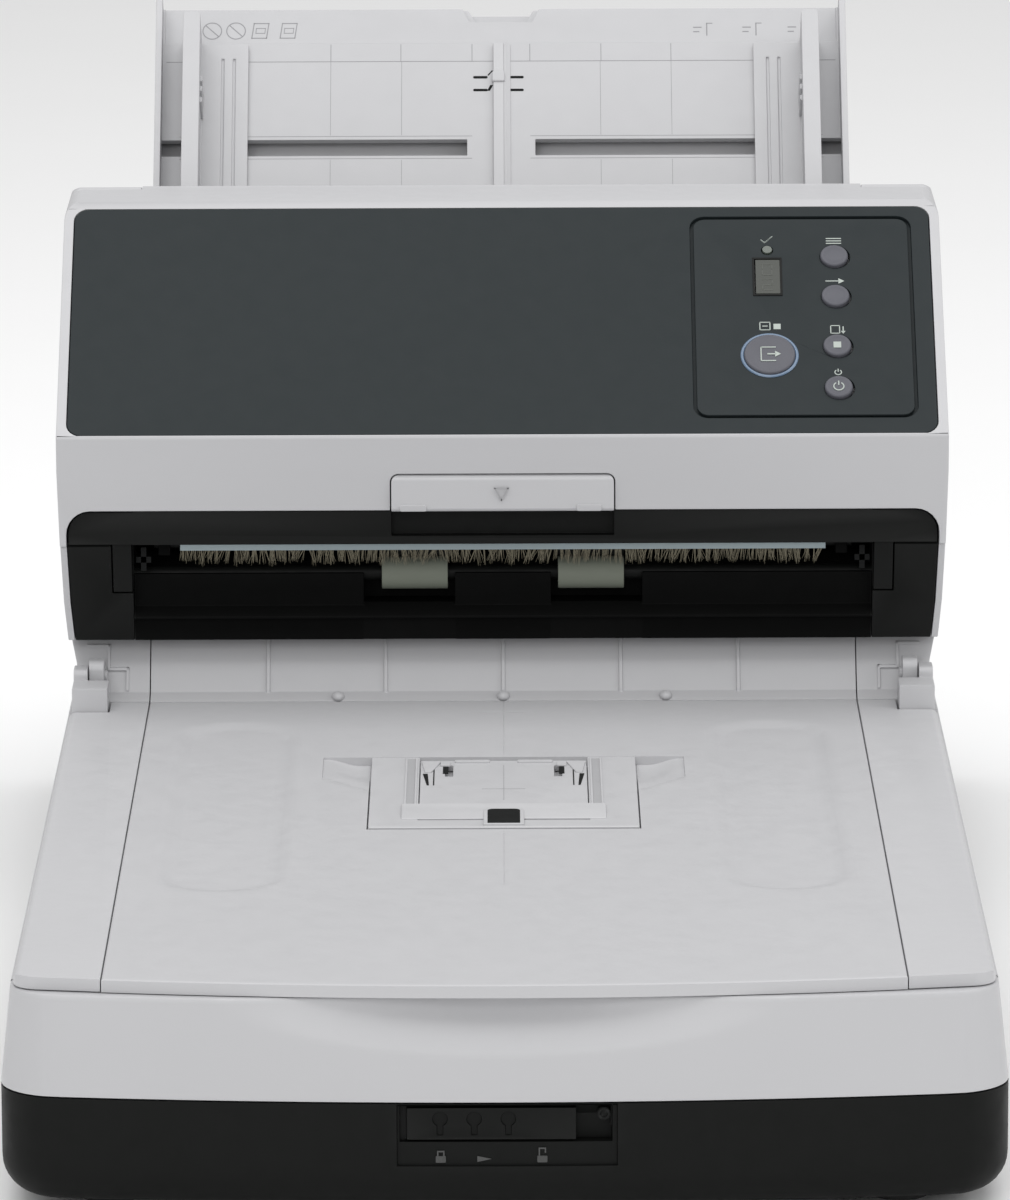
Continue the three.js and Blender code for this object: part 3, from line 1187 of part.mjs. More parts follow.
// A side guide: wall, base plate, the foot through the slot, and its rack under the paper surface.
function sideGuide(side) {
  const wallOut = CHUTE_HALF - GUIDE_INSET;
  const wallX = onSide(side, wallOut - GUIDE_THICKNESS, wallOut);
  const plateX = onSide(side, wallOut - GUIDE_THICKNESS - GUIDE_PLATE, wallOut - 1);
  const profile = roundRect(wallX, [CHUTE_BOTTOM + 24, GUIDE_TOP + 3], 1.5);
  let solid = alongZ(profile, [GAP, GUIDE_HEIGHT], 4);
  solid = solid.add(box(plateX, [CHUTE_BOTTOM + 30, GUIDE_TOP], [GAP, 2.2]));
  const near = Math.min(Math.abs(plateX[0]), Math.abs(plateX[1]));
  for (const x of [near + 5, near + 9]) {
    const groove = box(onSide(side, x - 0.5, x + 0.5), [CHUTE_BOTTOM + 34, GUIDE_TOP - 6], [1.5, 3]);
    solid = solid.subtract(groove);
  }
  const foot = box(onSide(side, near + 2, near + 18), [RACK_S - 2.6, RACK_S + 2.6], [RACK_Z[0], GAP + 0.5]);
  const pitchLine = RACK_S + side * PINION_RADIUS;
  const back = pitchLine + side * 3.4;
  const root = pitchLine + side * 1.2;
  const anchor = side * (near + 16);
  const tail = -side * 12;
  const teeth = rackTeeth(Math.min(anchor, tail) + 2, Math.max(anchor, tail) - 2, pitchLine, side);
  const bar = outline([[Math.min(anchor, tail), root], ...teeth, [Math.max(anchor, tail), root],
    [Math.max(anchor, tail), back], [Math.min(anchor, tail), back]]);
  const s = side > 0 ? [RACK_S, back] : [back, RACK_S];
  const web = box(onSide(side, near + 12, near + 18), s, RACK_Z);
  return solid.add(foot).add(alongZ(bar, RACK_Z)).add(web);
}

function pinion() {
  const shape = new THREE.Shape();
  const root = PINION_RADIUS - 1.2;
  const crest = PINION_RADIUS + 0.7;
  for (let i = 0; i < PINION_TEETH; i += 1) {
    const angle = (i * 2 * Math.PI) / PINION_TEETH + Math.PI / 2;
    const steps = [[root, -0.85 / root], [crest, -0.3 / crest], [crest, 0.3 / crest], [root, 0.85 / root]];
    steps.forEach(([radius, turn], j) => {
      const u = radius * Math.cos(angle + turn);
      const v = RACK_S + radius * Math.sin(angle + turn);
      if (i === 0 && j === 0) shape.moveTo(u, v);
      else shape.lineTo(u, v);
    });
  }
  return alongZ(shape, [RACK_Z[0] + 0.1, RACK_Z[1] - 0.1]);
}

function chuteExtension() {
  const half = EXTENSION_WIDTH / 2;
  const plate = box([-half, half], [EXTENSION_BOTTOM, CHUTE_TOP + 0.8], EXTENSION_Z);
  const inner = INNER_EXTENSION_WIDTH / 2 + SLIDE_GAP;
  return plate.subtract(box([-inner, inner], [EXTENSION_BOTTOM + 6, CHUTE_TOP + 2], [-9, 1]));
}

function innerExtension() {
  const half = INNER_EXTENSION_WIDTH / 2;
  const plate = box([-half, half], [EXTENSION_BOTTOM + 6.4, CHUTE_TOP + 0.8], EXTENSION_Z);
  const thumb = outline([[-9, CHUTE_TOP - 4], [9, CHUTE_TOP - 4], [12, CHUTE_TOP + 2], [-12, CHUTE_TOP + 2]]);
  return plate.subtract(alongZ(thumb, [-9, 1]));
}

function buildChute() {
  piece('chute_tray', 'light', chuteTray(), chuteFrame);
  piece('chute_extension', 'light', chuteExtension(), chuteFrame);
  piece('chute_inner_extension', 'light', innerExtension(), chuteFrame);
  for (const [side, name] of SIDES) piece(`side_guide_${name}`, 'light', sideGuide(side), chuteFrame);
  piece('guide_pinion', 'light', pinion(), chuteFrame);
}

buildBase();
buildCover();
buildFeederLower();
buildFeederUpper();
buildChute();

// The origin is the middle of the footprint, on the table.
scanner.updateMatrixWorld(true);
const bounds = new THREE.Box3().setFromObject(scanner, true);
const middle = bounds.getCenter(new THREE.Vector3());
bench.position.set(-middle.x, -middle.y, -bounds.min.z);

export default scanner;
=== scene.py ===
"""Desktop document scanner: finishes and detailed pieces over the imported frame."""
import json
import math
import random

import bmesh
import bpy
from mathutils import Matrix, Vector


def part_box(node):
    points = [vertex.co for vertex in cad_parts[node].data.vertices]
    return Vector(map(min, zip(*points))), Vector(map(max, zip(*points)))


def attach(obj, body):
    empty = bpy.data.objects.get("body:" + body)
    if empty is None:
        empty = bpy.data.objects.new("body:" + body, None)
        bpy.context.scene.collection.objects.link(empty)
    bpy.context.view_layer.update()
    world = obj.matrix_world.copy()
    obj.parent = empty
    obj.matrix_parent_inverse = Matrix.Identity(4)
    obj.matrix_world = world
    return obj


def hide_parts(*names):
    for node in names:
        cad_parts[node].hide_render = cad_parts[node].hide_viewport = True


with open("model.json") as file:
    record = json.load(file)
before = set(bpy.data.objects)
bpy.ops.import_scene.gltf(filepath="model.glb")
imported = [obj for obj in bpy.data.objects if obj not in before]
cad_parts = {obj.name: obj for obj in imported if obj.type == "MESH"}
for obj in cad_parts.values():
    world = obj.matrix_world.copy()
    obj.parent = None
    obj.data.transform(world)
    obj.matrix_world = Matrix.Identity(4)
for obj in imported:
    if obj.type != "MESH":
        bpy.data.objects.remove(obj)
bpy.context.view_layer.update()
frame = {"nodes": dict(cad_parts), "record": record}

# ---- Working frames: millimetres from the base's front edge, and two sloping ones ----
MM = 0.001
FEEDER_Y = 375.0
BAND_TOP = 164.6
PANEL_SLOPE = math.radians(38.5)
CHUTE_FOOT = (0, FEEDER_Y + 150, 224)
CHUTE_SLOPE = math.radians(51)
BENCH = Matrix.Translation((0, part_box("base_lower_case")[0].y, 0)) @ Matrix.Scale(MM, 4)
PANEL = BENCH @ Matrix.Translation((0, FEEDER_Y, BAND_TOP)) @ Matrix.Rotation(PANEL_SLOPE, 4, "X")
CHUTE = BENCH @ Matrix.Translation(CHUTE_FOOT) @ Matrix.Rotation(CHUTE_SLOPE, 4, "X")

# ---- Camera ----
LENS = 256.8
SENSOR_WIDTH = 36
VIEWPOINT = (0, -2435, 716)
LOOK_DOWN = 12.2
ROLL = -0.22

camera = bpy.data.objects.new("camera", bpy.data.cameras.new("camera"))
bpy.context.scene.collection.objects.link(camera)
camera.data.lens = LENS
camera.data.sensor_width = SENSOR_WIDTH
camera.data.shift_x = 2 / 1200
camera.data.clip_end = 50
camera.matrix_world = (
    BENCH @ Matrix.Translation(VIEWPOINT) @ Matrix.Scale(1 / MM, 4)
    @ Matrix.Rotation(math.radians(90 - LOOK_DOWN), 4, "X") @ Matrix.Rotation(math.radians(ROLL), 4, "Z")
)
bpy.context.scene.camera = camera
bpy.context.scene.view_settings.view_transform = "Standard"

# ---- Finishes ----
GRAIN_HEIGHT = 0.00006


def link(tree, source, target):
    tree.links.new(source, target)


def noise(tree, coordinates, scale, detail=2.0, stretch=None):
    """A noise pattern in the object's own coordinates, drawn out along an axis where stretch says so."""
    pattern = tree.nodes.new("ShaderNodeTexNoise")
    pattern.inputs["Scale"].default_value = scale
    pattern.inputs["Detail"].default_value = detail
    if stretch:
        mapping = tree.nodes.new("ShaderNodeMapping")
        mapping.inputs["Scale"].default_value = stretch
        link(tree, coordinates, mapping.inputs["Vector"])
        coordinates = mapping.outputs["Vector"]
    link(tree, coordinates, pattern.inputs["Vector"])
    return pattern.outputs["Fac"]


def spread(tree, value, low, high, start=0.3, end=0.7):
    """Stretches part of a 0 to 1 pattern over a range of values."""
    node = tree.nodes.new("ShaderNodeMapRange")
    node.inputs["From Min"].default_value = start
    node.inputs["From Max"].default_value = end
    node.inputs["To Min"].default_value = low
    node.inputs["To Max"].default_value = high
    link(tree, value, node.inputs["Value"])
    return node.outputs["Result"]


def blend_colours(tree, factor, first, second):
    """Mixes a first colour, or a colour from another node, with a second."""
    node = tree.nodes.new("ShaderNodeMix")
    node.data_type = "RGBA"
    link(tree, factor, node.inputs["Factor"])
    if isinstance(first, tuple):
        node.inputs[6].default_value = (*first, 1)
    else:
        link(tree, first, node.inputs[6])
    node.inputs[7].default_value = (*second, 1)
    return node.outputs[2]


def finish_of(name, colour, roughness, grain=1500, relief=0.2, mottle=0.03, rubbed=0.04, stretch=None,
              sway=0.06, **sockets):
    """A moulded, drawn or ground surface: mottled colour, rubbed edges, uneven gloss and a fine grain."""
    material = bpy.data.materials.new(name)
    material.use_nodes = True
    tree = material.node_tree
    shader = tree.nodes["Principled BSDF"]
    coordinates = tree.nodes.new("ShaderNodeTexCoord").outputs["Object"]
    darker = tuple(c * (1 - mottle) for c in colour)
    lighter = tuple(min(1, c * (1 + mottle)) for c in colour)
    base = blend_colours(tree, spread(tree, noise(tree, coordinates, 9, 4), 0, 1), darker, lighter)
    edges = tree.nodes.new("ShaderNodeNewGeometry").outputs["Pointiness"]
    worn = tuple(min(1, c + rubbed) for c in colour)
    link(tree, blend_colours(tree, spread(tree, edges, 0, 1, 0.53, 0.62), base, worn), shader.inputs["Base Color"])
    gloss = noise(tree, coordinates, 160, 3, stretch)
    link(tree, spread(tree, gloss, roughness - sway, roughness + sway), shader.inputs["Roughness"])
    bump = tree.nodes.new("ShaderNodeBump")
    bump.inputs["Strength"].default_value = relief
    bump.inputs["Distance"].default_value = GRAIN_HEIGHT
    link(tree, noise(tree, coordinates, grain, 2, stretch), bump.inputs["Height"])
    link(tree, bump.outputs["Normal"], shader.inputs["Normal"])
    for socket, value in sockets.items():
        shader.inputs[socket.replace("_", " ")].default_value = value
    return material


FINISHES = {}
for finish_name, tone, rough, looks in (
    ("light_plastic", (0.47, 0.47, 0.482), 0.5, {"relief": 0.22, "mottle": 0.012}),
    ("dark_plastic", (0.0052, 0.0056, 0.0052), 0.5, {"relief": 0.3, "rubbed": 0.01, "Specular_IOR_Level": 0.12}),
    ("panel_plastic", (0.0185, 0.0238, 0.0257), 0.46,
     {"grain": 1100, "relief": 0.5, "mottle": 0.015, "rubbed": 0.012, "sway": 0.03, "Specular_IOR_Level": 0.12}),
    ("key_plastic", (0.085, 0.086, 0.102), 0.4, {"relief": 0.15, "rubbed": 0.03, "Specular_IOR_Level": 0.3}),
    ("display", (0.028, 0.032, 0.025), 0.25, {"grain": 600, "relief": 0.05, "Specular_IOR_Level": 0.3}),
    ("lamp_lens", (0.06, 0.075, 0.06), 0.2, {"relief": 0.05, "Coat_Weight": 0.3}),
    ("glass", (0.86, 0.93, 0.92), 0.04, {"relief": 0.02, "sway": 0.02, "Transmission_Weight": 0.95, "IOR": 1.5}),
    ("foot_rubber", (0.02, 0.02, 0.02), 0.85, {"grain": 900, "relief": 0.5}),
    ("roller_rubber", (0.15, 0.165, 0.13), 0.75, {"grain": 2200, "relief": 0.6, "stretch": (1, 4, 4)}),
    ("steel", (0.5, 0.52, 0.54), 0.28, {"relief": 0.3, "stretch": (0.05, 6, 6), "Metallic": 1.0}),
    ("bristle", (0.15, 0.13, 0.075), 0.6, {"relief": 0.1, "mottle": 0.45}),
    ("white_sheet", (0.84, 0.84, 0.82), 0.6, {"grain": 700, "relief": 0.1}),
    ("raised_sign", (0.012, 0.013, 0.012), 0.45, {"relief": 0.2}),
    # painted shade: a near-black colour that stands for the shade inside holes, slots, gaps, cut-outs and vents
    ("painted_recess_shade", (0.008, 0.0085, 0.0085), 0.7, {"relief": 0.2, "rubbed": 0.004, "Specular_IOR_Level": 0.1}),
    ("scored_line", (0.26, 0.26, 0.27), 0.6, {"relief": 0.2, "rubbed": 0.0}),
    ("soft_sign", (0.33, 0.33, 0.34), 0.5, {"relief": 0.2, "rubbed": 0.02}),
    ("pale_print", (0.36, 0.4, 0.37), 0.5, {"relief": 0.1, "rubbed": 0.02}),
    ("blue_ring", (0.09, 0.15, 0.24), 0.3, {"relief": 0.1, "Coat_Weight": 0.4}),
    ("soft_shadow", (0.36, 0.36, 0.37), 0.6, {"relief": 0.2, "rubbed": 0.0}),
    # painted shade: a darker copy of the dark plastic for the faces inside the exit mouth and its sills, under the
    # feeder's overhang
    ("painted_exit_shade", (0.0018, 0.0019, 0.0018), 0.55, {"relief": 0.3, "rubbed": 0.003, "Specular_IOR_Level": 0.05}),
    ("strip_metal", (0.34, 0.41, 0.43), 0.5,
     {"relief": 0.3, "mottle": 0.12, "stretch": (0.05, 6, 6), "Metallic": 0.4}),
    ("faint_segment", (0.04, 0.045, 0.036), 0.4, {"relief": 0.1, "rubbed": 0.0}),
):
    FINISHES[finish_name] = finish_of(finish_name, tone, rough, **looks)

SLOTS = {s["node"]: s["material_slot"] for s in frame["record"]["subparts"]}
for name, thing in frame["nodes"].items():
    thing.data.materials.clear()
    thing.data.materials.append(FINISHES[SLOTS[name]])

# ---- Mesh helpers ----
BODIES = {node: body for body, nodes in frame["record"]["behaviour"]["bodies"].items() for node in nodes}


def shaded(mesh, degrees):
    """Smooth shading that breaks at edges sharper than the given angle."""
    limit = math.radians(degrees)
    work = bmesh.new()
    work.from_mesh(mesh)
    for face in work.faces:
        face.smooth = True
    for edge in work.edges:
        edge.smooth = len(edge.link_faces) == 2 and edge.calc_face_angle(0) < limit
    work.to_mesh(mesh)
    work.free()


def made(name, bm, place, body, slot, replaces=(), degrees=32, finish=None):
    """Puts a finished bmesh in the scene: placed in its own vertices, riding on its body."""
    bm.transform(place)
    mesh = bpy.data.meshes.new(name)
    bm.to_mesh(mesh)
    bm.free()
    mesh.materials.append(FINISHES[finish or slot])
    shaded(mesh, degrees)
    piece = bpy.data.objects.new(name, mesh)
    bpy.context.scene.collection.objects.link(piece)
    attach(piece, body)
    even = piece.modifiers.new("even", "WEIGHTED_NORMAL")
    even.keep_sharp = True
    even.weight = 100
    if replaces:
        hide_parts(*replaces)
    return piece


def copied(node, place):
    """A node's mesh, merged and with its flat faces whole, in a working frame's millimetres."""
    bm = bmesh.new()
    bm.from_mesh(frame["nodes"][node].data)
    bm.transform(place.inverted())
    bmesh.ops.remove_doubles(bm, verts=bm.verts, dist=0.002)
    bmesh.ops.dissolve_limit(bm, angle_limit=math.radians(0.3), verts=bm.verts, edges=bm.edges)
    return bm


def round_over(bm, width, segments=2, degrees=30):
    """Eases every edge that is sharper than the given angle."""
    limit = math.radians(degrees)
    edges = [
        e for e in bm.edges
        if len(e.link_faces) == 2 and e.calc_face_angle(0) > limit and e.calc_length() > 0
    ]
    bmesh.ops.bevel(
        bm, geom=edges, offset=width, segments=segments,
        profile=0.5, affect="EDGES", material=-1, clamp_overlap=False,
    )


def softened(node, width=0.3, finish=None):
    """Stands in for a CAD node with the same shape and eased edges."""
    bm = copied(node, BENCH)
    round_over(bm, width)
    return made(node + "_shell", bm, BENCH, BODIES[node], SLOTS[node], [node], finish=finish)


def profile(corners, level=0.0):
    """A flat face through a few corners (u, v, radius), rounded where a radius is given."""
    bm = bmesh.new()
    verts = [bm.verts.new((u, v, level)) for u, v, *_ in corners]
    bm.faces.new(verts)
    for vert, (_, _, *radius) in zip(verts, corners):
        if radius:
            bmesh.ops.bevel(
                bm, geom=[vert], offset=radius[0], segments=6, profile=0.5, affect="VERTICES", material=-1,
            )
    return bm


def raised_to(bm, level):
    """Gives a flat face thickness, up to a level."""
    top = bmesh.ops.extrude_face_region(bm, geom=bm.faces[:])["geom"]
    for vert in top:
        if isinstance(vert, bmesh.types.BMVert):
            vert.co.z = level
    bmesh.ops.recalc_face_normals(bm, faces=bm.faces)
    return bm


def plate(corners, low, high, edge=0.0, segments=2):
    """A slab on a rounded outline, its rims eased by edge."""
    bm = raised_to(profile(corners, low), high)
    if edge:
        round_over(bm, edge, segments)
    return bm


def bar(x, y, z, edge=0.0, segments=2):
    return plate([(x[0], y[0]), (x[1], y[0]), (x[1], y[1]), (x[0], y[1])], z[0], z[1], edge, segments)


def rounded_bar(x, y, z, radius, edge=0.0):
    corners = [(x[0], y[0], radius), (x[1], y[0], radius), (x[1], y[1], radius), (x[0], y[1], radius)]
    return plate(corners, z[0], z[1], edge)


def beside(side, near, far):
    """The span from near to far of the middle, on the left (-1) or the right (1)."""
    return sorted((side * near, side * far))


def joined(*parts):
    """Several bmeshes as one."""
    whole = bmesh.new()
    for part in parts:
        mesh = bpy.data.meshes.new("part")
        part.to_mesh(mesh)
        part.free()
        whole.from_mesh(mesh)
        bpy.data.meshes.remove(mesh)
    return whole


def moved(bm, *shift):
    bmesh.ops.translate(bm, vec=shift, verts=bm.verts)
    return bm


def swung(bm, angle, axis="Z"):
    """Turns a bmesh about an axis through the origin."""
    bmesh.ops.rotate(bm, cent=(0, 0, 0), matrix=Matrix.Rotation(angle, 3, axis), verts=bm.verts)
    return bm


def upright(bm):
    """Turns a slab drawn in (x, z) to stand on edge and face the front."""
    return swung(bm, math.pi / 2, "X")


def cut_at(bm, y, **cleared):
    """Cuts a bmesh by the plane at a depth, and clears one side where cleared says so."""
    everything = bm.verts[:] + bm.edges[:] + bm.faces[:]
    bmesh.ops.bisect_plane(bm, geom=everything, plane_co=(0, y, 0), plane_no=(0, 1, 0), **cleared)


def spun(bm, verts, edges, angle, steps, merge):
    """Carries a row of edges round the Z axis."""
    bmesh.ops.spin(
        bm, geom=verts + edges, cent=(0, 0, 0), axis=(0, 0, 1), dvec=(0, 0, 0), angle=angle, steps=steps,
        use_merge=merge, use_duplicate=False,
    )


def turned(points, centre=(0, 0, 0), steps=40):
    """A body of revolution about Z from (radius, height) points that start and end on the axis."""
    bm = bmesh.new()
    verts = [bm.verts.new((r, 0, z)) for r, z in points]
    edges = [bm.edges.new(pair) for pair in zip(verts, verts[1:])]
    spun(bm, verts, edges, 2 * math.pi, steps, True)
    bmesh.ops.remove_doubles(bm, verts=bm.verts, dist=0.001)
    bmesh.ops.recalc_face_normals(bm, faces=bm.faces)
    return moved(bm, *centre)


def stops(*marks, step=3.0):
    """Grid lines through every mark, with even ones no further apart than step between them."""
    lines = [marks[0]]
    for low, high in zip(marks, marks[1:]):
        count = max(1, math.ceil((high - low) / step))
        lines += [low + (high - low) * i / count for i in range(1, count + 1)]
    return lines


def lattice(us, vs, point):
    """A grid of faces whose corner (i, j) sits at point(us[i], vs[j])."""
    bm = bmesh.new()
    bmesh.ops.create_grid(bm, x_segments=len(us) - 1, y_segments=len(vs) - 1, size=1)
    for vert in bm.verts:
        i = round((vert.co.x + 1) / 2 * (len(us) - 1))
        j = round((vert.co.y + 1) / 2 * (len(vs) - 1))
        vert.co = point(us[i], vs[j])
    return bm


def ease(value, low, high):
    """0 below low, 1 above high, smooth between."""
    t = min(1, max(0, (value - low) / (high - low)))
    return t * t * (3 - 2 * t)


# ---- Base ----
BASE_HALF = 150.0
BASE_CORNER = 16.0
FRONT_BOW = 10.4
BACK_JOIN = 560
SEAM = 37.5
LOCK_X = (-31.8, 33.1)
WINDOW_X = (-31.2, 31.8)
SCOOP = (82, 17, 69)
SCOOP_DEPTH = 9
WALL_END = 30


def base_plan(front_lines, straight=12, turns=9):
    """Plan of the base from the back left corner, round the front, to the back right one.

    Each place is (x, y, inward x, inward y).
    """
    half, corner, bow = BASE_HALF, BASE_CORNER, FRONT_BOW
    left = []
    for i in range(straight + 1):
        left.append((-half, BACK_JOIN - (BACK_JOIN - bow - corner) * i / straight, 1.0, 0.0))
    for i in range(1, turns):
        a = math.pi + math.pi / 2 * i / turns
        left.append((
            -half + corner + corner * math.cos(a), bow + corner + corner * math.sin(a) - 2.1 * (i / turns) ** 2,
            -math.cos(a), -math.sin(a),
        ))
    front = [(x, bow * (x / half) ** 2, -0.139 * x / half, 1.0) for x in front_lines]
    right = [(-x, y, -nx, ny) for x, y, nx, ny in reversed(left)]
    return left + front + right


def case_point(place, level):
    """A point of the dark lower case, with the lock's recess and its window sunk in the front."""
    x, y, inward_x, inward_y = place
    inset, z = level
    if y < 4 and LOCK_X[0] <= x <= LOCK_X[1] and 18.6 <= z <= 37.2:
        inset += 1.1
        if WINDOW_X[0] < x < WINDOW_X[1] and 25.6 < z < 37.1:
            inset += 4.2
    return (x + inward_x * inset, y + inward_y * inset, z)


def lower_case():
    """The dark case: its bottom edge rolls under, and its back comes from the CAD node."""
    step = 0.2
    front = stops(
        -131, LOCK_X[0] - step, LOCK_X[0], WINDOW_X[0], WINDOW_X[0] + step, 0, WINDOW_X[1] - step, WINDOW_X[1],
        LOCK_X[1], LOCK_X[1] + step, 131, step=7,
    )
    roll = [(12 - 12 * math.sin(a), 16 - 12 * math.cos(a)) for a in [math.pi / 2 * i / 9 for i in range(10)]]
    upright_part = [(0, z) for z in (18.4, 18.6, 25.6, 25.8, 31, 36.9, 37.1, 37.2, 37.35)]
    levels = [(60, 4)] + roll + upright_part + [(0.25, SEAM), (3, SEAM), (3, 30)]
    case = lattice(base_plan(front), levels, case_point)
    bmesh.ops.recalc_face_normals(case, faces=case.faces)
    bmesh.ops.solidify(case, geom=case.faces[:], thickness=0.6)
    made("lower_case_shell", case, BENCH, "base", "dark_plastic", degrees=35)
    back = copied("base_lower_case", BENCH)
    cut_at(back, BACK_JOIN, clear_inner=True)
    bmesh.ops.holes_fill(back, edges=[e for e in back.edges if len(e.link_faces) == 1])
    made("lower_case_back", back, BENCH, "base", "dark_plastic", ["base_lower_case"], 50)


def frame_point(place, level):
    """A point of the light front wall, with the wide soft finger scoop under the cover's lip."""
    x, y, inward_x, inward_y = place
    inset, z = level
    half_width, half_height, centre = SCOOP
    reach = math.hypot(x / half_width, (z - centre) / half_height)
    if y < 12 and reach < 1:
        inset += SCOOP_DEPTH * (ease(1 - reach, -0.12, 0.9) - ease(0, -0.12, 0.9))
    return (x + inward_x * inset, y + inward_y * inset, z)


def front_wall():
    """The light front wall with its scoop, and the rest of the upper frame with eased edges."""
    rise = [(3.2 * (z - 37.8) / 30.4, z) for z in stops(38.4, 66.4, step=1.4)]
    levels = [(6, 39), (3, 37.8), (0.5, 37.8), (0.1, 38.0)] + rise + [
        (3.1, 67.4), (3.5, 68.0), (4.2, 68.2), (12, 68.15), (WALL_END, 68.15), (WALL_END, 66),
    ]
    wall = lattice(base_plan(stops(-131, 131, step=4)), levels, frame_point)
    bmesh.ops.recalc_face_normals(wall, faces=wall.faces)
    cut_at(wall, WALL_END, clear_outer=True)
    made("front_wall", wall, BENCH, "base", "light_plastic", degrees=40)
    rest = copied("base_upper_frame", BENCH)
    cut_at(rest, WALL_END, clear_inner=True)
    round_over(rest, 0.3)
    made("upper_frame_shell", rest, BENCH, "base", "light_plastic", ["base_upper_frame"])


def lock_marks():
    """Raised signs under the lock: an arrow, and an open and a closed padlock; and the lock's boss."""
    raised = (0, 0.5)
    parts = [plate([(-8.2, 19.6), (-8.2, 21.4), (-4, 20.5)], *raised)]
    for x, lift in ((-19, 0.0), (11, 0.9)):
        parts += [
            rounded_bar((x - 1.5, x + 1.5), (19.4, 21.4), raised, 0.3),
            bar((x - 1.1, x - 0.7), (21.4, 22.6 + lift), raised),
            bar((x - 1.1, x + 1.1), (22.6 + lift, 23 + lift), raised),
            bar((x + 0.7, x + 1.1), (21.4 + lift, 22.6 + lift), raised),
        ]
    marks = moved(upright(joined(*parts)), 0, 1.3, 0)
    made("lock_signs", marks, BENCH, "base", "dark_plastic", finish="raised_sign")
    boss = turned([(0, 0), (2, 0), (2, 3.2), (1.7, 3.5), (1.1, 3.5), (0.9, 3.2), (0, 3.2)], steps=28)
    made("lock_boss", moved(upright(boss), 29.2, 5, 34), BENCH, "base", "dark_plastic")


def foot_pad(node):
    """A round rubber foot with a softly dished sole."""
    low, high = (BENCH.inverted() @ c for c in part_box(node))
    x, y = (low.x + high.x) / 2, (low.y + high.y) / 2
    outline = [(0, 0.5), (6.8, 0.5), (7.2, 0.2), (8, 0), (8.7, 0.2), (9, 0.8), (9, 3.7), (0, 3.7)]
    made(node + "_pad", turned(outline, (x, y, 0)), BENCH, "base", "foot_rubber", [node])


# ---- Document cover ----
COVER_Z = 72.5
COVER_HALF = 119.2
COVER_FRONT, COVER_BACK = 4.6, 380.8
COVER_SKIN = 4
POCKET_HALF, POCKET_FRONT, POCKET_BACK = 43.5, 198.3, 297.7
POCKET_DEPTH = 3
NOTCH_WIDTH = 15.5
CAPSULE_X, CAPSULE_FRONT, CAPSULE_BACK = 87.7, 120, 349
CAPSULE_RADIUS = 19.7
CROSS_Y = 364


def capsule_dip(x, y):
    """Depth of the long soft hollow on either side of the cover."""
    reach = CAPSULE_RADIUS
    along = max(0, CAPSULE_FRONT + reach - y, y - (CAPSULE_BACK - reach))
    distance = math.hypot(abs(x) - CAPSULE_X, along)
    return 1.5 * (1 - ease(distance, reach - 4.5, reach + 0.5))


def notch_dip(x, y):
    """Depth of the finger notch beside the pocket: a shallow step outside, a deep curved floor inside."""
    out = (abs(x) - POCKET_HALF) / NOTCH_WIDTH
    if not 0 <= out < 1 or y > POCKET_BACK or y < 251 + 19 * out:
        return 0
    return 0.7 + 2.1 * ease(1 - out, 0.1, 0.75) * ease(y, 256 + 24 * out, 284)


def cover_height(x, y):
    """Height of the cover's skin over its plane: pocket, hollows, notches, eased rim and scored lines."""
    if abs(x) < POCKET_HALF and POCKET_FRONT < y < POCKET_BACK:
        return -POCKET_DEPTH
    depth = capsule_dip(x, y) + notch_dip(x, y)
    edge = min(COVER_HALF - abs(x), y - COVER_FRONT, COVER_BACK - y)
    if edge < 0.9:
        depth += 0.5 * (1 - edge / 0.9) ** 2
    line = abs(x) < 0.05 and (124 < y < 198 or 298 < y < 380)
    cross = abs(y - CROSS_Y) < 0.05 and abs(x) < 9
    return -depth - (0.3 if line or cross else 0)


def cover_centre():
    """The cover's middle: one skin on a fine grid, over a flat underside."""
    right = stops(
        0, 0.35, 9, 43.45, 43.55, 45, 58.9, 59.05, 66, 110, 118.3, 118.7, 119, COVER_HALF, step=2.2,
    )
    columns = [-x for x in reversed(right)] + right[1:]
    rows = stops(
        COVER_FRONT, 4.8, 5.1, 5.5, 118, 198.25, 198.35, 251, 261, 297.65, 297.75, 351, CROSS_Y - 0.3, CROSS_Y,
        CROSS_Y + 0.3, 379.9, 380.3, 380.6, COVER_BACK, step=3,
    )
    rows = sorted(set(round(y, 4) for y in rows + stops(251, 297.6, step=0.8)))
    cover = lattice(columns, rows, lambda x, y: Vector((x, y, 0)))
    top = bmesh.ops.extrude_face_region(cover, geom=cover.faces[:])["geom"]
    heights = {v: cover_height(v.co.x, v.co.y) for v in top if isinstance(v, bmesh.types.BMVert)}
    for vert in cover.verts:
        bow = 13 * (vert.co.x / 145.8) ** 2
        vert.co.y += bow * max(0, 1 - (vert.co.y - COVER_FRONT) / 90)
        vert.co.z = COVER_Z + heights.get(vert, -COVER_SKIN)
    bmesh.ops.recalc_face_normals(cover, faces=cover.faces)
    underside = COVER_Z - COVER_SKIN
    flat = [f for f in cover.faces if all(abs(v.co.z - underside) < 0.001 for v in f.verts)]
    bmesh.ops.dissolve_faces(cover, faces=flat)
    made("cover_centre_skin", cover, BENCH, "document_cover", "light_plastic", ["cover_center_panel"], 50)


def stopper_lip():
    """The raised lip across the stopper, its front half sloping down."""
    lip = bar((-32.8, 32.8), (212.6, 231), (71.9, 73.1), 0.5, 3)
    cut_at(lip, 223)
    for vert in lip.verts:
        if vert.co.y < 214 and vert.co.z > COVER_Z:
            vert.co.z -= 0.5
    made("stopper_lip", lip, BENCH, "stopper", "light_plastic")


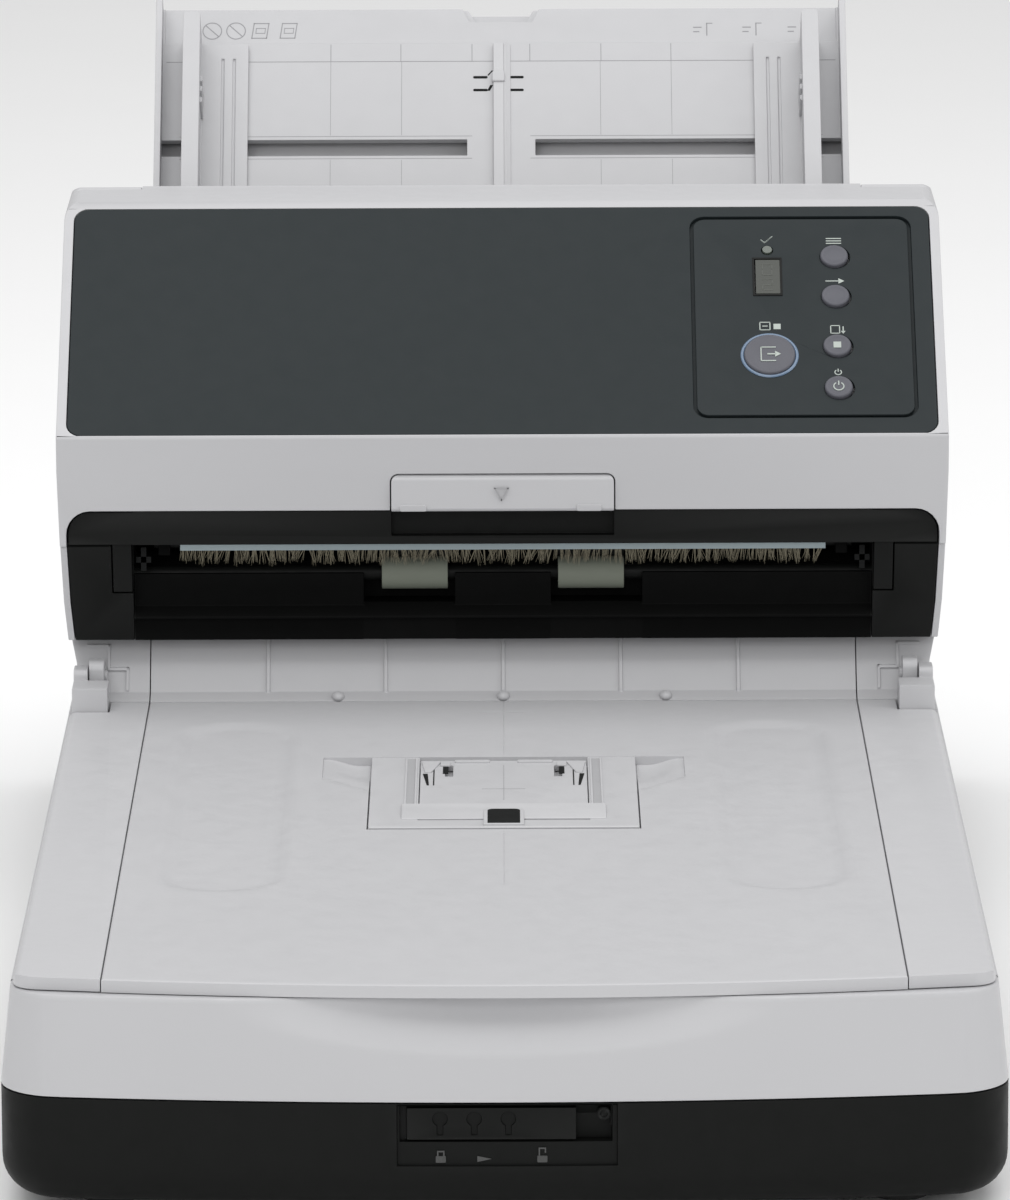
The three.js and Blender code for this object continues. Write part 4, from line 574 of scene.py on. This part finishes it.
def stopper_details():
    """The stopper's front rim, finger window, guide grooves, and the snap hooks and gaps at its back; the window
    and the gaps are near-black marks of painted shade.
    """
    rim = bar((-42.9, 42.9), (200.0, 202.3), (71.9, 72.75), 0.4, 3)
    made("stopper_front_rim", rim, BENCH, "stopper", "light_plastic")
    # the finger window is a flat near-black plate of painted shade, not an opening
    window = plate([(-5.2, 203.6), (5.2, 203.6), (5.2, 222.5, 2), (-5.2, 222.5, 2)], 72, 73.3, 0.1)
    made("stopper_window", window, BENCH, "stopper", "light_plastic", finish="painted_recess_shade")
    border = plate([(-6.5, 202.6), (6.5, 202.6), (6.5, 224.2, 2.6), (-6.5, 224.2, 2.6)], 72, 73.2, 0.35)
    made("stopper_window_rim", border, BENCH, "stopper", "light_plastic")
    hook = (71.8, 72.6)
    grooves, gaps, hooks = [], [], []
    for side in (-1, 1):
        grooves.append(bar(beside(side, 28.9, 31.2), (231.2, 296), (72, 72.33)))
        for x in (28.4, 31.7):
            hooks.append(bar(beside(side, x - 0.35, x + 0.35), (231, 296.4), (72, 72.7), 0.2))
        sliver = [(side * x, y) for x, y in ((26.3, 276), (24.7, 276), (24.2, 260), (24.9, 260))]
        wedge = [(side * x, y) for x, y in ((26.8, 292), (20.4, 292), (23.6, 277), (25.6, 277))]
        # the gaps are thin near-black marks of painted shade
        gaps += [
            bar(beside(side, 22.5, 22.9), (260, 289), (72, 72.1)),
            plate(sliver, 71.9, 72.1),
            bar(beside(side, 18, 19.8), (276, 286), (71.9, 72.1)),
        ]
        hooks += [
            plate(wedge, 71.8, 72.5, 0.2),
            rounded_bar(beside(side, 17.4, 20.6), (286, 292), hook, 0.8, 0.2),
            rounded_bar(beside(side, 4.5, 16), (291, 293.6), hook, 0.8, 0.2),
        ]
    cross = [bar((-0.18, 0.18), (240, 288), (71.9, 72.06)), bar((-7, 7), (254.8, 255.2), (71.9, 72.06))]
    for name, parts, finish in (
        ("stopper_grooves", grooves, "soft_shadow"), ("stopper_gaps", gaps, "painted_recess_shade"),
        ("stopper_hooks", hooks, None), ("stopper_cross", cross, "soft_shadow"),
    ):
        group = joined(*parts)
        bmesh.ops.recalc_face_normals(group, faces=group.faces)
        made(name, group, BENCH, "stopper", "light_plastic", finish=finish)


def hinge_lips():
    """Fine raised lips on the slope, stepping round each cover hinge."""
    foot_y, foot_z, lean = 386.6, 74.5, 0.694
    lips = []
    for side in (-1, 1):
        for x, z in (
            ((133, 141), (88.2, 89.1)), ((133, 133.9), (81.2, 89.1)),
            ((126.6, 133.9), (81.2, 82.1)), ((126.6, 127.5), (75.2, 82.1)),
        ):
            lips.append(bar(beside(side, *x), z, (-0.5, 0.85), 0.15))
    whole = upright(joined(*lips))
    for vert in whole.verts:
        vert.co.y += foot_y + (vert.co.z - foot_z) * lean
    made("hinge_lips", whole, BENCH, "base", "light_plastic")


def ramp_bumps():
    """Three low round bumps along the ramp's foot."""
    bumps = []
    for x in (-55.8, 0, 54.8):
        bump = bmesh.new()
        bmesh.ops.create_uvsphere(bump, u_segments=24, v_segments=12, radius=1)
        bmesh.ops.scale(bump, vec=(2.2, 2.6, 1.9), verts=bump.verts)
        bumps.append(moved(bump, x, 383.4, 73.4))
    made("ramp_bumps", joined(*bumps), BENCH, "base", "light_plastic")


# ---- Feeder ----
BRUSH_HALF = 107.3
BRUSH_ROOT = (385, 124.2)
TUFTS = 150


def stroke(start, end, half_width, depth):
    """A thin straight bar from one point to another."""
    (x0, y0), (x1, y1) = start, end
    length = math.hypot(x1 - x0, y1 - y0)
    line = bar((-half_width, length + half_width), (-half_width, half_width), depth)
    return moved(swung(line, math.atan2(y1 - y0, x1 - x0)), x0, y0, 0)


def outline_strokes(points, half_width, depth):
    """Thin bars along the sides of a closed figure."""
    return [stroke(start, end, half_width, depth) for start, end in zip(points, points[1:] + points[:1])]


def bristles():
    """Loose tufts: each a fan of thin tapered hairs that share a root, a lean and a length."""
    chance = random.Random(7)
    brush = bmesh.new()
    root_y, root_z = BRUSH_ROOT
    for i in range(TUFTS):
        root = -BRUSH_HALF + 2 * BRUSH_HALF * i / (TUFTS - 1) + chance.uniform(-0.5, 0.5)
        lean = chance.gauss(0, 0.2)
        reach = chance.uniform(4.6, 6.4)
        for _ in range(chance.randint(4, 9)):
            length = reach * chance.uniform(0.72, 1.0)
            hair = bmesh.ops.create_cone(
                brush, cap_ends=True, segments=3, radius1=0.035, radius2=chance.uniform(0.07, 0.13), depth=length,
            )["verts"]
            bmesh.ops.translate(brush, vec=(0, 0, -length / 2), verts=hair)
            sideways = Matrix.Rotation(lean + chance.gauss(0, 0.13), 3, "Y")
            forwards = Matrix.Rotation(chance.gauss(0.06, 0.06), 3, "X")
            bmesh.ops.rotate(brush, cent=(0, 0, 0), matrix=sideways @ forwards, verts=hair)
            spot = (root + chance.gauss(0, 0.38), root_y + chance.uniform(-0.45, 0.45), root_z)
            bmesh.ops.translate(brush, vec=spot, verts=hair)
    made("brush_tufts", brush, BENCH, "feeder_cover", "bristle", ["brush_bristles"])


def release_details():
    """The sign and the two small feet on the release tab."""
    sign = joined(*outline_strokes([(-2.2, 147.2), (2.2, 147.2), (0, 143.2)], 0.22, (0, 0.3)))
    made("release_sign", moved(upright(sign), -0.4, 372.9, 0), BENCH, "release_tab", "light_plastic",
         finish="soft_sign")
    feet = joined(*(rounded_bar(x, (139.4, 141.6), (0, 1.2), 0.7, 0.25) for x in ((-34.5, -25.5), (24.8, 33.2))))
    made("release_feet", moved(upright(feet), 0, 373.4, 0), BENCH, "release_tab", "light_plastic")


def mouth_details():
    """Cross-shaped cut-outs at the mouth's ends, drawn as near-black marks of painted shade, and sills that close
    the gaps under the exit rollers, coloured with the exit's painted shade.
    """
    gaps = []
    for side in (-1, 1):
        gaps.append(bar(beside(side, 118.4, 123.4), (119.8, 121.8), (0, 0.4)))
        gaps.append(bar(beside(side, 120, 121.8), (117, 125), (0, 0.4)))
    # near-black marks of painted shade stand for the cut-outs
    made("mouth_cutouts", moved(upright(joined(*gaps)), 0, 384.6, 0), BENCH, "feeder_cover", "dark_plastic",
         finish="painted_recess_shade")
    # dark sills in the exit's painted shade fill the gaps under the rollers
    sills = [bar(x, (387.6, 389.2), (92.4, 100.4), 0.2) for x in ((-47.2, -15.9), (15.9, 47.2))]
    made("exit_sills", joined(*sills), BENCH, "base", "dark_plastic", finish="painted_exit_shade")


# ---- Operator panel ----
KEY_X = 113.1
KEY_RADIUS = 4.75
SCAN = (90.2, 35.1)
SCAN_RADIUS = 8.7
KEYS = {
    "menu_button": ("menu_key", 79.4), "function_button": ("function_key", 61.4),
    "stop_button": ("stop_key", 39.1), "power_button": ("power_key", 20.6),
}
DISPLAY = (86.1, 94.3)
PRINT = (0, 0.03)
KEY_PRINT = (0.7, 0.98)


def key_cap(node, body, x, s, radius):
    """A dished round key with a turned rim."""
    points = [
        (0, -1.7), (radius, -1.7), (radius, 0.5), (radius - 0.1, 0.8), (radius - 0.35, 1.05), (radius - 0.7, 1.15),
        (radius - 1.1, 1.08), (radius - 1.6, 0.95), (radius * 0.5, 0.78), (0, 0.7),
    ]
    made(node + "_cap", turned(points, (x, s, 0), 48), PANEL, body, "key_plastic", [node], 40)


def arc_mark(centre, radius, width, start, end, depth, steps=20):
    """A flat curved stroke."""
    bm = bmesh.new()
    verts = [bm.verts.new((r, 0, depth[0])) for r in (radius - width / 2, radius + width / 2)]
    edge = bm.edges.new(verts)
    swung(bm, start)
    spun(bm, verts, [edge], end - start, steps, False)
    return moved(raised_to(bm, depth[1]), *centre, 0)


def printed(name, parts, body, slot="key_plastic", finish="pale_print"):
    made(name, joined(*parts), PANEL, body, slot, finish=finish)


def key_icons():
    """The scan key's ring and the signs on the scan, power and stop keys."""
    ring = turned(
        [(8.75, -0.4), (8.75, 0.25), (9.0, 0.42), (9.5, 0.42), (9.8, 0.2), (9.8, -0.4)], (*SCAN, 0), 64,
    )
    made("scan_ring", ring, PANEL, "feeder_cover", "panel_plastic", finish="blue_ring")
    x, s = SCAN
    tray = [
        bar((x - 3.1, x + 2.1), (s - 3.2, s - 2.8), KEY_PRINT),
        bar((x - 3.1, x - 2.7), (s - 3.2, s + 3.2), KEY_PRINT),
        bar((x - 3.1, x + 2.1), (s + 2.8, s + 3.2), KEY_PRINT),
    ]
    arrow = [
        bar((x - 0.8, x + 2.2), (s - 0.25, s + 0.25), KEY_PRINT),
        plate([(x + 1.8, s - 1.3), (x + 3.8, s), (x + 1.8, s + 1.3)], *KEY_PRINT),
    ]
    printed("scan_icon", tray + arrow, "scan_key")
    x, s = KEY_X, KEYS["power_button"][1]
    printed("power_icon", [
        arc_mark((x, s), 1.7, 0.4, math.radians(120), math.radians(420), (0.7, 1.0)),
        bar((x - 0.2, x + 0.2), (s + 0.5, s + 2.4), (0.7, 1.0)),
    ], "power_key")
    printed("stop_icon", [bar((x - 1.3, x + 1.3), (37.8, 40.4), (0.7, 0.99))], "stop_key")


def panel_print():
    """Plain signs over the keys and the lamp."""
    x = KEY_X
    menu = [bar((x - 2.6, x + 2.6), (85.4 + 1.1 * k, 85.8 + 1.1 * k), PRINT) for k in range(3)]
    send = [
        bar((x - 3.2, x + 1.6), (68.3, 68.7), PRINT),
        plate([(x + 1.2, 67.3), (x + 3.2, 68.5), (x + 1.2, 69.7)], *PRINT),
    ]
    sheet = outline_strokes([(x - 2, 45), (x + 1, 45), (x + 1, 48.4), (x - 2, 48.4)], 0.17, PRINT)
    down = [
        bar((x + 2, x + 2.4), (45.4, 48), PRINT),
        plate([(x + 1.4, 46), (x + 2.2, 44.8), (x + 3, 46)], *PRINT),
    ]
    power = [
        arc_mark((x, 27.6), 1.1, 0.35, math.radians(125), math.radians(415), PRINT),
        bar((x - 0.17, x + 0.17), (27.8, 29.1), PRINT),
    ]
    x = SCAN[0]
    scan = [
        *outline_strokes([(x - 3, 46.6), (x + 0.4, 46.6), (x + 0.4, 50), (x - 3, 50)], 0.17, PRINT),
        bar((x + 1.6, x + 4), (46.9, 49.3), PRINT),
        bar((x - 2.2, x - 0.4), (48.1, 48.5), PRINT),
    ]
    tick = [
        *outline_strokes([(x - 1.8, 87.2), (x - 0.6, 86)], 0.2, PRINT),
        *outline_strokes([(x - 0.6, 86), (x + 2, 88.8)], 0.2, PRINT),
    ]
    printed("panel_print", menu + send + sheet + down + power + scan + tick, "feeder_cover", "panel_plastic")


def display_details():
    """Faint figure segments in the display, and the frame round it."""
    low, high = DISPLAY
    width, height, line = 3.6, 5.2, 0.4
    left = (low + high) / 2 - width / 2
    right = left + width
    segments = []
    for base, lit in ((64.2, "abdeg"), (71.0, "abcdef")):
        middle, top = base + height / 2, base + height
        strokes = {
            "a": ((left, right), (top - line, top)),
            "b": ((right - line, right), (middle + 0.3, top - 0.5)),
            "c": ((right - line, right), (base + 0.5, middle - 0.3)),
            "d": ((left, right), (base, base + line)),
            "e": ((left, left + line), (base + 0.5, middle - 0.3)),
            "f": ((left, left + line), (middle + 0.3, top - 0.5)),
            "g": ((left, right), (middle - line / 2, middle + line / 2)),
        }
        segments += [bar(*strokes[k], (0.2, 0.26)) for k in lit]
    printed("display_segments", segments, "feeder_cover", "display", "faint_segment")
    border = [
        bar(x, s, (-0.2, 0.3), 0.12) for x, s in (
            ((low - 0.9, low - 0.2), (62.2, 78.8)), ((high + 0.2, high + 0.9), (62.2, 78.8)),
            ((low - 0.9, high + 0.9), (61.9, 62.6)), ((low - 0.9, high + 0.9), (78.4, 79.1)),
        )
    ]
    made("display_frame", joined(*border), PANEL, "feeder_cover", "dark_plastic")


# ---- Chute ----
SCORE = (0, 0.03)
TOP_SCORE = (0, 0.04)
TOP_SIGN = (-0.5, -0.45)
SLOT = (-0.3, 0.05)


def chute_lines():
    """Fine parting lines across the chute."""
    lines = [bar((-118, 118), (50.85, 51.1), TOP_SCORE)]
    for x in (-60, -35.3, -10.2, 10.2, 35.3, 60):
        lines.append(bar((x - 0.12, x + 0.12), (51, 58), TOP_SCORE))
    for span in ((-113, -10.2), (10.2, 113)):
        lines += [bar(span, (s - 0.1, s + 0.1), SCORE) for s in (11.6, 20.6)]
    for x in (-60, -35, 35, 60):
        lines.append(bar((x - 0.08, x + 0.08), (21, 50.9), SCORE))
        lines.append(bar((x - 0.08, x + 0.08), (-20, 11), SCORE))
    made("chute_lines", joined(*lines), CHUTE, "base", "light_plastic", finish="scored_line")


def chute_signs():
    """Paper width ticks, two forbidden marks and two sheet marks along the chute's top."""
    signs = []
    for x in (72.6, 90, 106):
        signs += [
            bar((x, x + 0.4), (61.4, 66.6), TOP_SIGN), bar((x, x + 2.2), (66.3, 66.6), TOP_SIGN),
            bar((x - 4.6, x - 1.6), (64.6, 65), TOP_SIGN), bar((x - 4.6, x - 2.4), (62.8, 63.2), TOP_SIGN),
        ]
    for x in (-102, -93.6):
        signs.append(arc_mark((x, 64), 3.3, 0.35, 0, 2 * math.pi, TOP_SIGN, 40))
        signs.append(moved(swung(bar((-3.2, 3.2), (-0.17, 0.17), TOP_SIGN), math.radians(-45)), x, 64, 0))
    for x in (-85.4, -75.4):
        signs += outline_strokes([(x - 2.6, 61), (x + 2.6, 61), (x + 3.4, 67), (x - 1.8, 67)], 0.17, TOP_SIGN)
        signs += outline_strokes([(x - 1.2, 63), (x + 2, 63), (x + 2.2, 65), (x - 1, 65)], 0.12, TOP_SIGN)
    made("chute_signs", joined(*signs), CHUTE, "base", "light_plastic", finish="scored_line")


def chute_clip():
    """The long centre rib with its snap head, and the slots that free the head, drawn as near-black marks of
    painted shade.
    """
    left, right, flank_right = -2.7, 1, 3.3
    foot, top = -32, 57.4
    head = plate([(-3.2, 41.4, 0.9), (1.4, 41.4, 0.9), (1.4, 46.4, 1.7), (-3.2, 46.4, 1.7)], 0.2, 2.5, 0.6, 3)
    stem = bar((left, right), (foot, top), (0.2, 1.9), 0.3)
    flank = bar((right, flank_right), (foot, top), (0.1, 0.4))
    for vert in flank.verts:
        if vert.co.z > 0.3 and vert.co.x < 2:
            vert.co.z = 1.8
    made("centre_clip", joined(head, stem, flank), CHUTE, "base", "light_plastic")
    # the slots are near-black marks of painted shade
    slots = []
    for near, far in ((-9.8, -4.7), (2.9, 8.0)):
        for s in (44.4, 39.2):
            slots.append(rounded_bar((near, far), (s - 0.5, s + 0.5), SLOT, 0.45))
    for x, lean in ((-4.4, 1.1), (2.6, -1.1)):
        bend = [(x - 0.5, 38.9), (x + 0.5, 38.9), (x + 0.5 + lean, 41.2), (x - 0.5 + lean, 41.2)]
        slots.append(plate(bend, *SLOT))
    for start, end in (((-4.5, 45.3), (-3.2, 46.9)), ((-3.2, 46.9), (1.4, 46.9)), ((1.4, 46.9), (2.7, 45.3))):
        slots.append(stroke(start, end, 0.22, SLOT))
    made("clip_slots", joined(*slots), CHUTE, "base", "light_plastic", finish="painted_recess_shade")


def guide_details(side, body):
    """Finger ribs on a side guide's inner face, and the rail along its foot."""
    parts = []
    for s in (35.9, 31.9, 27.4):
        parts.append(rounded_bar(beside(side, 104.6, 106.2), (s - 1.1, s + 1.1), (2.4, 14.5), 0.6, 0.25))
    parts.append(bar(beside(side, 105.2, 106.4), (-30, 57), (2.1, 3.1), 0.5, 3))
    name = "guide_ribs_left" if side < 0 else "guide_ribs_right"
    made(name, joined(*parts), CHUTE, body, "light_plastic")


# ---- Back ----
PLATE_Y = 575.7
REAR_Y = 577.15


def back_details():
    """A socket shell with its tongue, screw heads on the connector plate, and the rear vents, drawn as near-black
    bars of painted shade.
    """
    shell = [
        bar(x, z, (0, 1.2), 0.1) for x, z in (
            ((-62.2, -49.8), (51.2, 51.9)), ((-62.2, -49.8), (60.1, 60.8)),
            ((-62.2, -61.5), (51.2, 60.8)), ((-50.5, -49.8), (51.2, 60.8)),
        )
    ]
    made("socket_shell", moved(upright(joined(*shell)), 0, PLATE_Y + 0.4, 0), BENCH, "base", "steel")
    tongue = bar((-59, -53), (54.6, 57.4), (0, 3), 0.3)
    made("socket_tongue", moved(upright(tongue), 0, PLATE_Y, 0), BENCH, "base", "white_sheet")
    head = [(0, 0), (1.9, 0), (1.9, 0.6), (1.4, 1), (0.9, 1.05), (0.7, 0.6), (0, 0.6)]
    screws = [moved(upright(turned(head, steps=20)), x, PLATE_Y + 0.9, 63) for x in (-107, -45)]
    made("plate_screws", joined(*screws), BENCH, "base", "steel")
    # the vents are near-black bars of painted shade
    vents = []
    for x in (-60, -30, 0, 30, 60):
        vents += [rounded_bar((x - 9, x + 9), (z, z + 2), (0, 0.3), 0.9) for z in range(118, 143, 5)]
    made("rear_vents", moved(upright(joined(*vents)), 0, REAR_Y, 0), BENCH, "base", "light_plastic",
         finish="painted_recess_shade")


# ---- Putting the pieces in place ----
FEET = ("foot_front_left", "foot_front_right", "foot_rear_left", "foot_rear_right")
EXIT_LINED = ("feeder_lower_case", "feeder_inner_frame")
DONE = {
    "base_lower_case", "base_upper_frame", "cover_center_panel", "brush_bristles", "brush_strip", "scan_button",
    *KEYS, *FEET, *EXIT_LINED,
}
lower_case()
front_wall()
lock_marks()
cover_centre()
stopper_lip()
stopper_details()
ramp_bumps()
bristles()
release_details()
mouth_details()
hinge_lips()
key_cap("scan_button", "scan_key", *SCAN, SCAN_RADIUS)
for key_node, (key_body, key_s) in KEYS.items():
    key_cap(key_node, key_body, KEY_X, key_s, KEY_RADIUS)
key_icons()
panel_print()
display_details()
chute_lines()
chute_signs()
chute_clip()
guide_details(-1, "guide_left")
guide_details(1, "guide_right")
back_details()
for foot in FEET:
    foot_pad(foot)
# The faces inside the exit mouth take a darker copy of the dark plastic: painted shade under the feeder's
# overhang.
for node in EXIT_LINED:
    shell = softened(node)
    shell.data.materials.append(FINISHES["painted_exit_shade"])
    for face in shell.data.polygons:
        across, depth, height = BENCH.inverted() @ face.center
        if abs(across) < 123.9 and depth > 377 and height < 126.5:
            face.material_index = 1
softened("brush_strip", 0.15, finish="strip_metal")
for node in frame["nodes"]:
    if node not in DONE:
        softened(node)

# ---- Floor and light ----
floor_mesh = bmesh.new()
bmesh.ops.create_grid(floor_mesh, x_segments=2, y_segments=2, size=9)
floor_data = bpy.data.meshes.new("floor")
floor_mesh.to_mesh(floor_data)
floor_mesh.free()
floor = bpy.data.objects.new("floor", floor_data)
floor.data.materials.append(
    finish_of("floor_paper", (0.92, 0.92, 0.92), 0.9, grain=60, relief=0.02, mottle=0.004, rubbed=0),
)
bpy.context.scene.collection.objects.link(floor)

SKY_STRENGTH = 0.62
world = bpy.data.worlds.new("studio")
bpy.context.scene.world = world
world.use_nodes = True
sky = world.node_tree.nodes["Background"]
sky.inputs["Color"].default_value = (1, 1, 1, 1)
sky.inputs["Strength"].default_value = SKY_STRENGTH


def lamp(name, spot, aim, size, watts):
    """A soft rectangular lamp that faces its aim."""
    data = bpy.data.lights.new(name, "AREA")
    data.shape = "RECTANGLE"
    data.size, data.size_y = size
    data.energy = watts
    thing = bpy.data.objects.new(name, data)
    bpy.context.scene.collection.objects.link(thing)
    thing.location = spot
    thing.rotation_euler = (Vector(aim) - Vector(spot)).to_track_quat("-Z", "Y").to_euler()


OBJECT_MIDDLE = (0, 0, 0.1)
lamp("overhead", (0, -0.1, 2.2), OBJECT_MIDDLE, (2.6, 2.2), 34)
lamp("front_fill", (-0.5, -2.6, 1.3), OBJECT_MIDDLE, (1.8, 1.2), 16)
lamp("side_fill", (2.2, -0.8, 1.3), OBJECT_MIDDLE, (1.2, 1.2), 8)
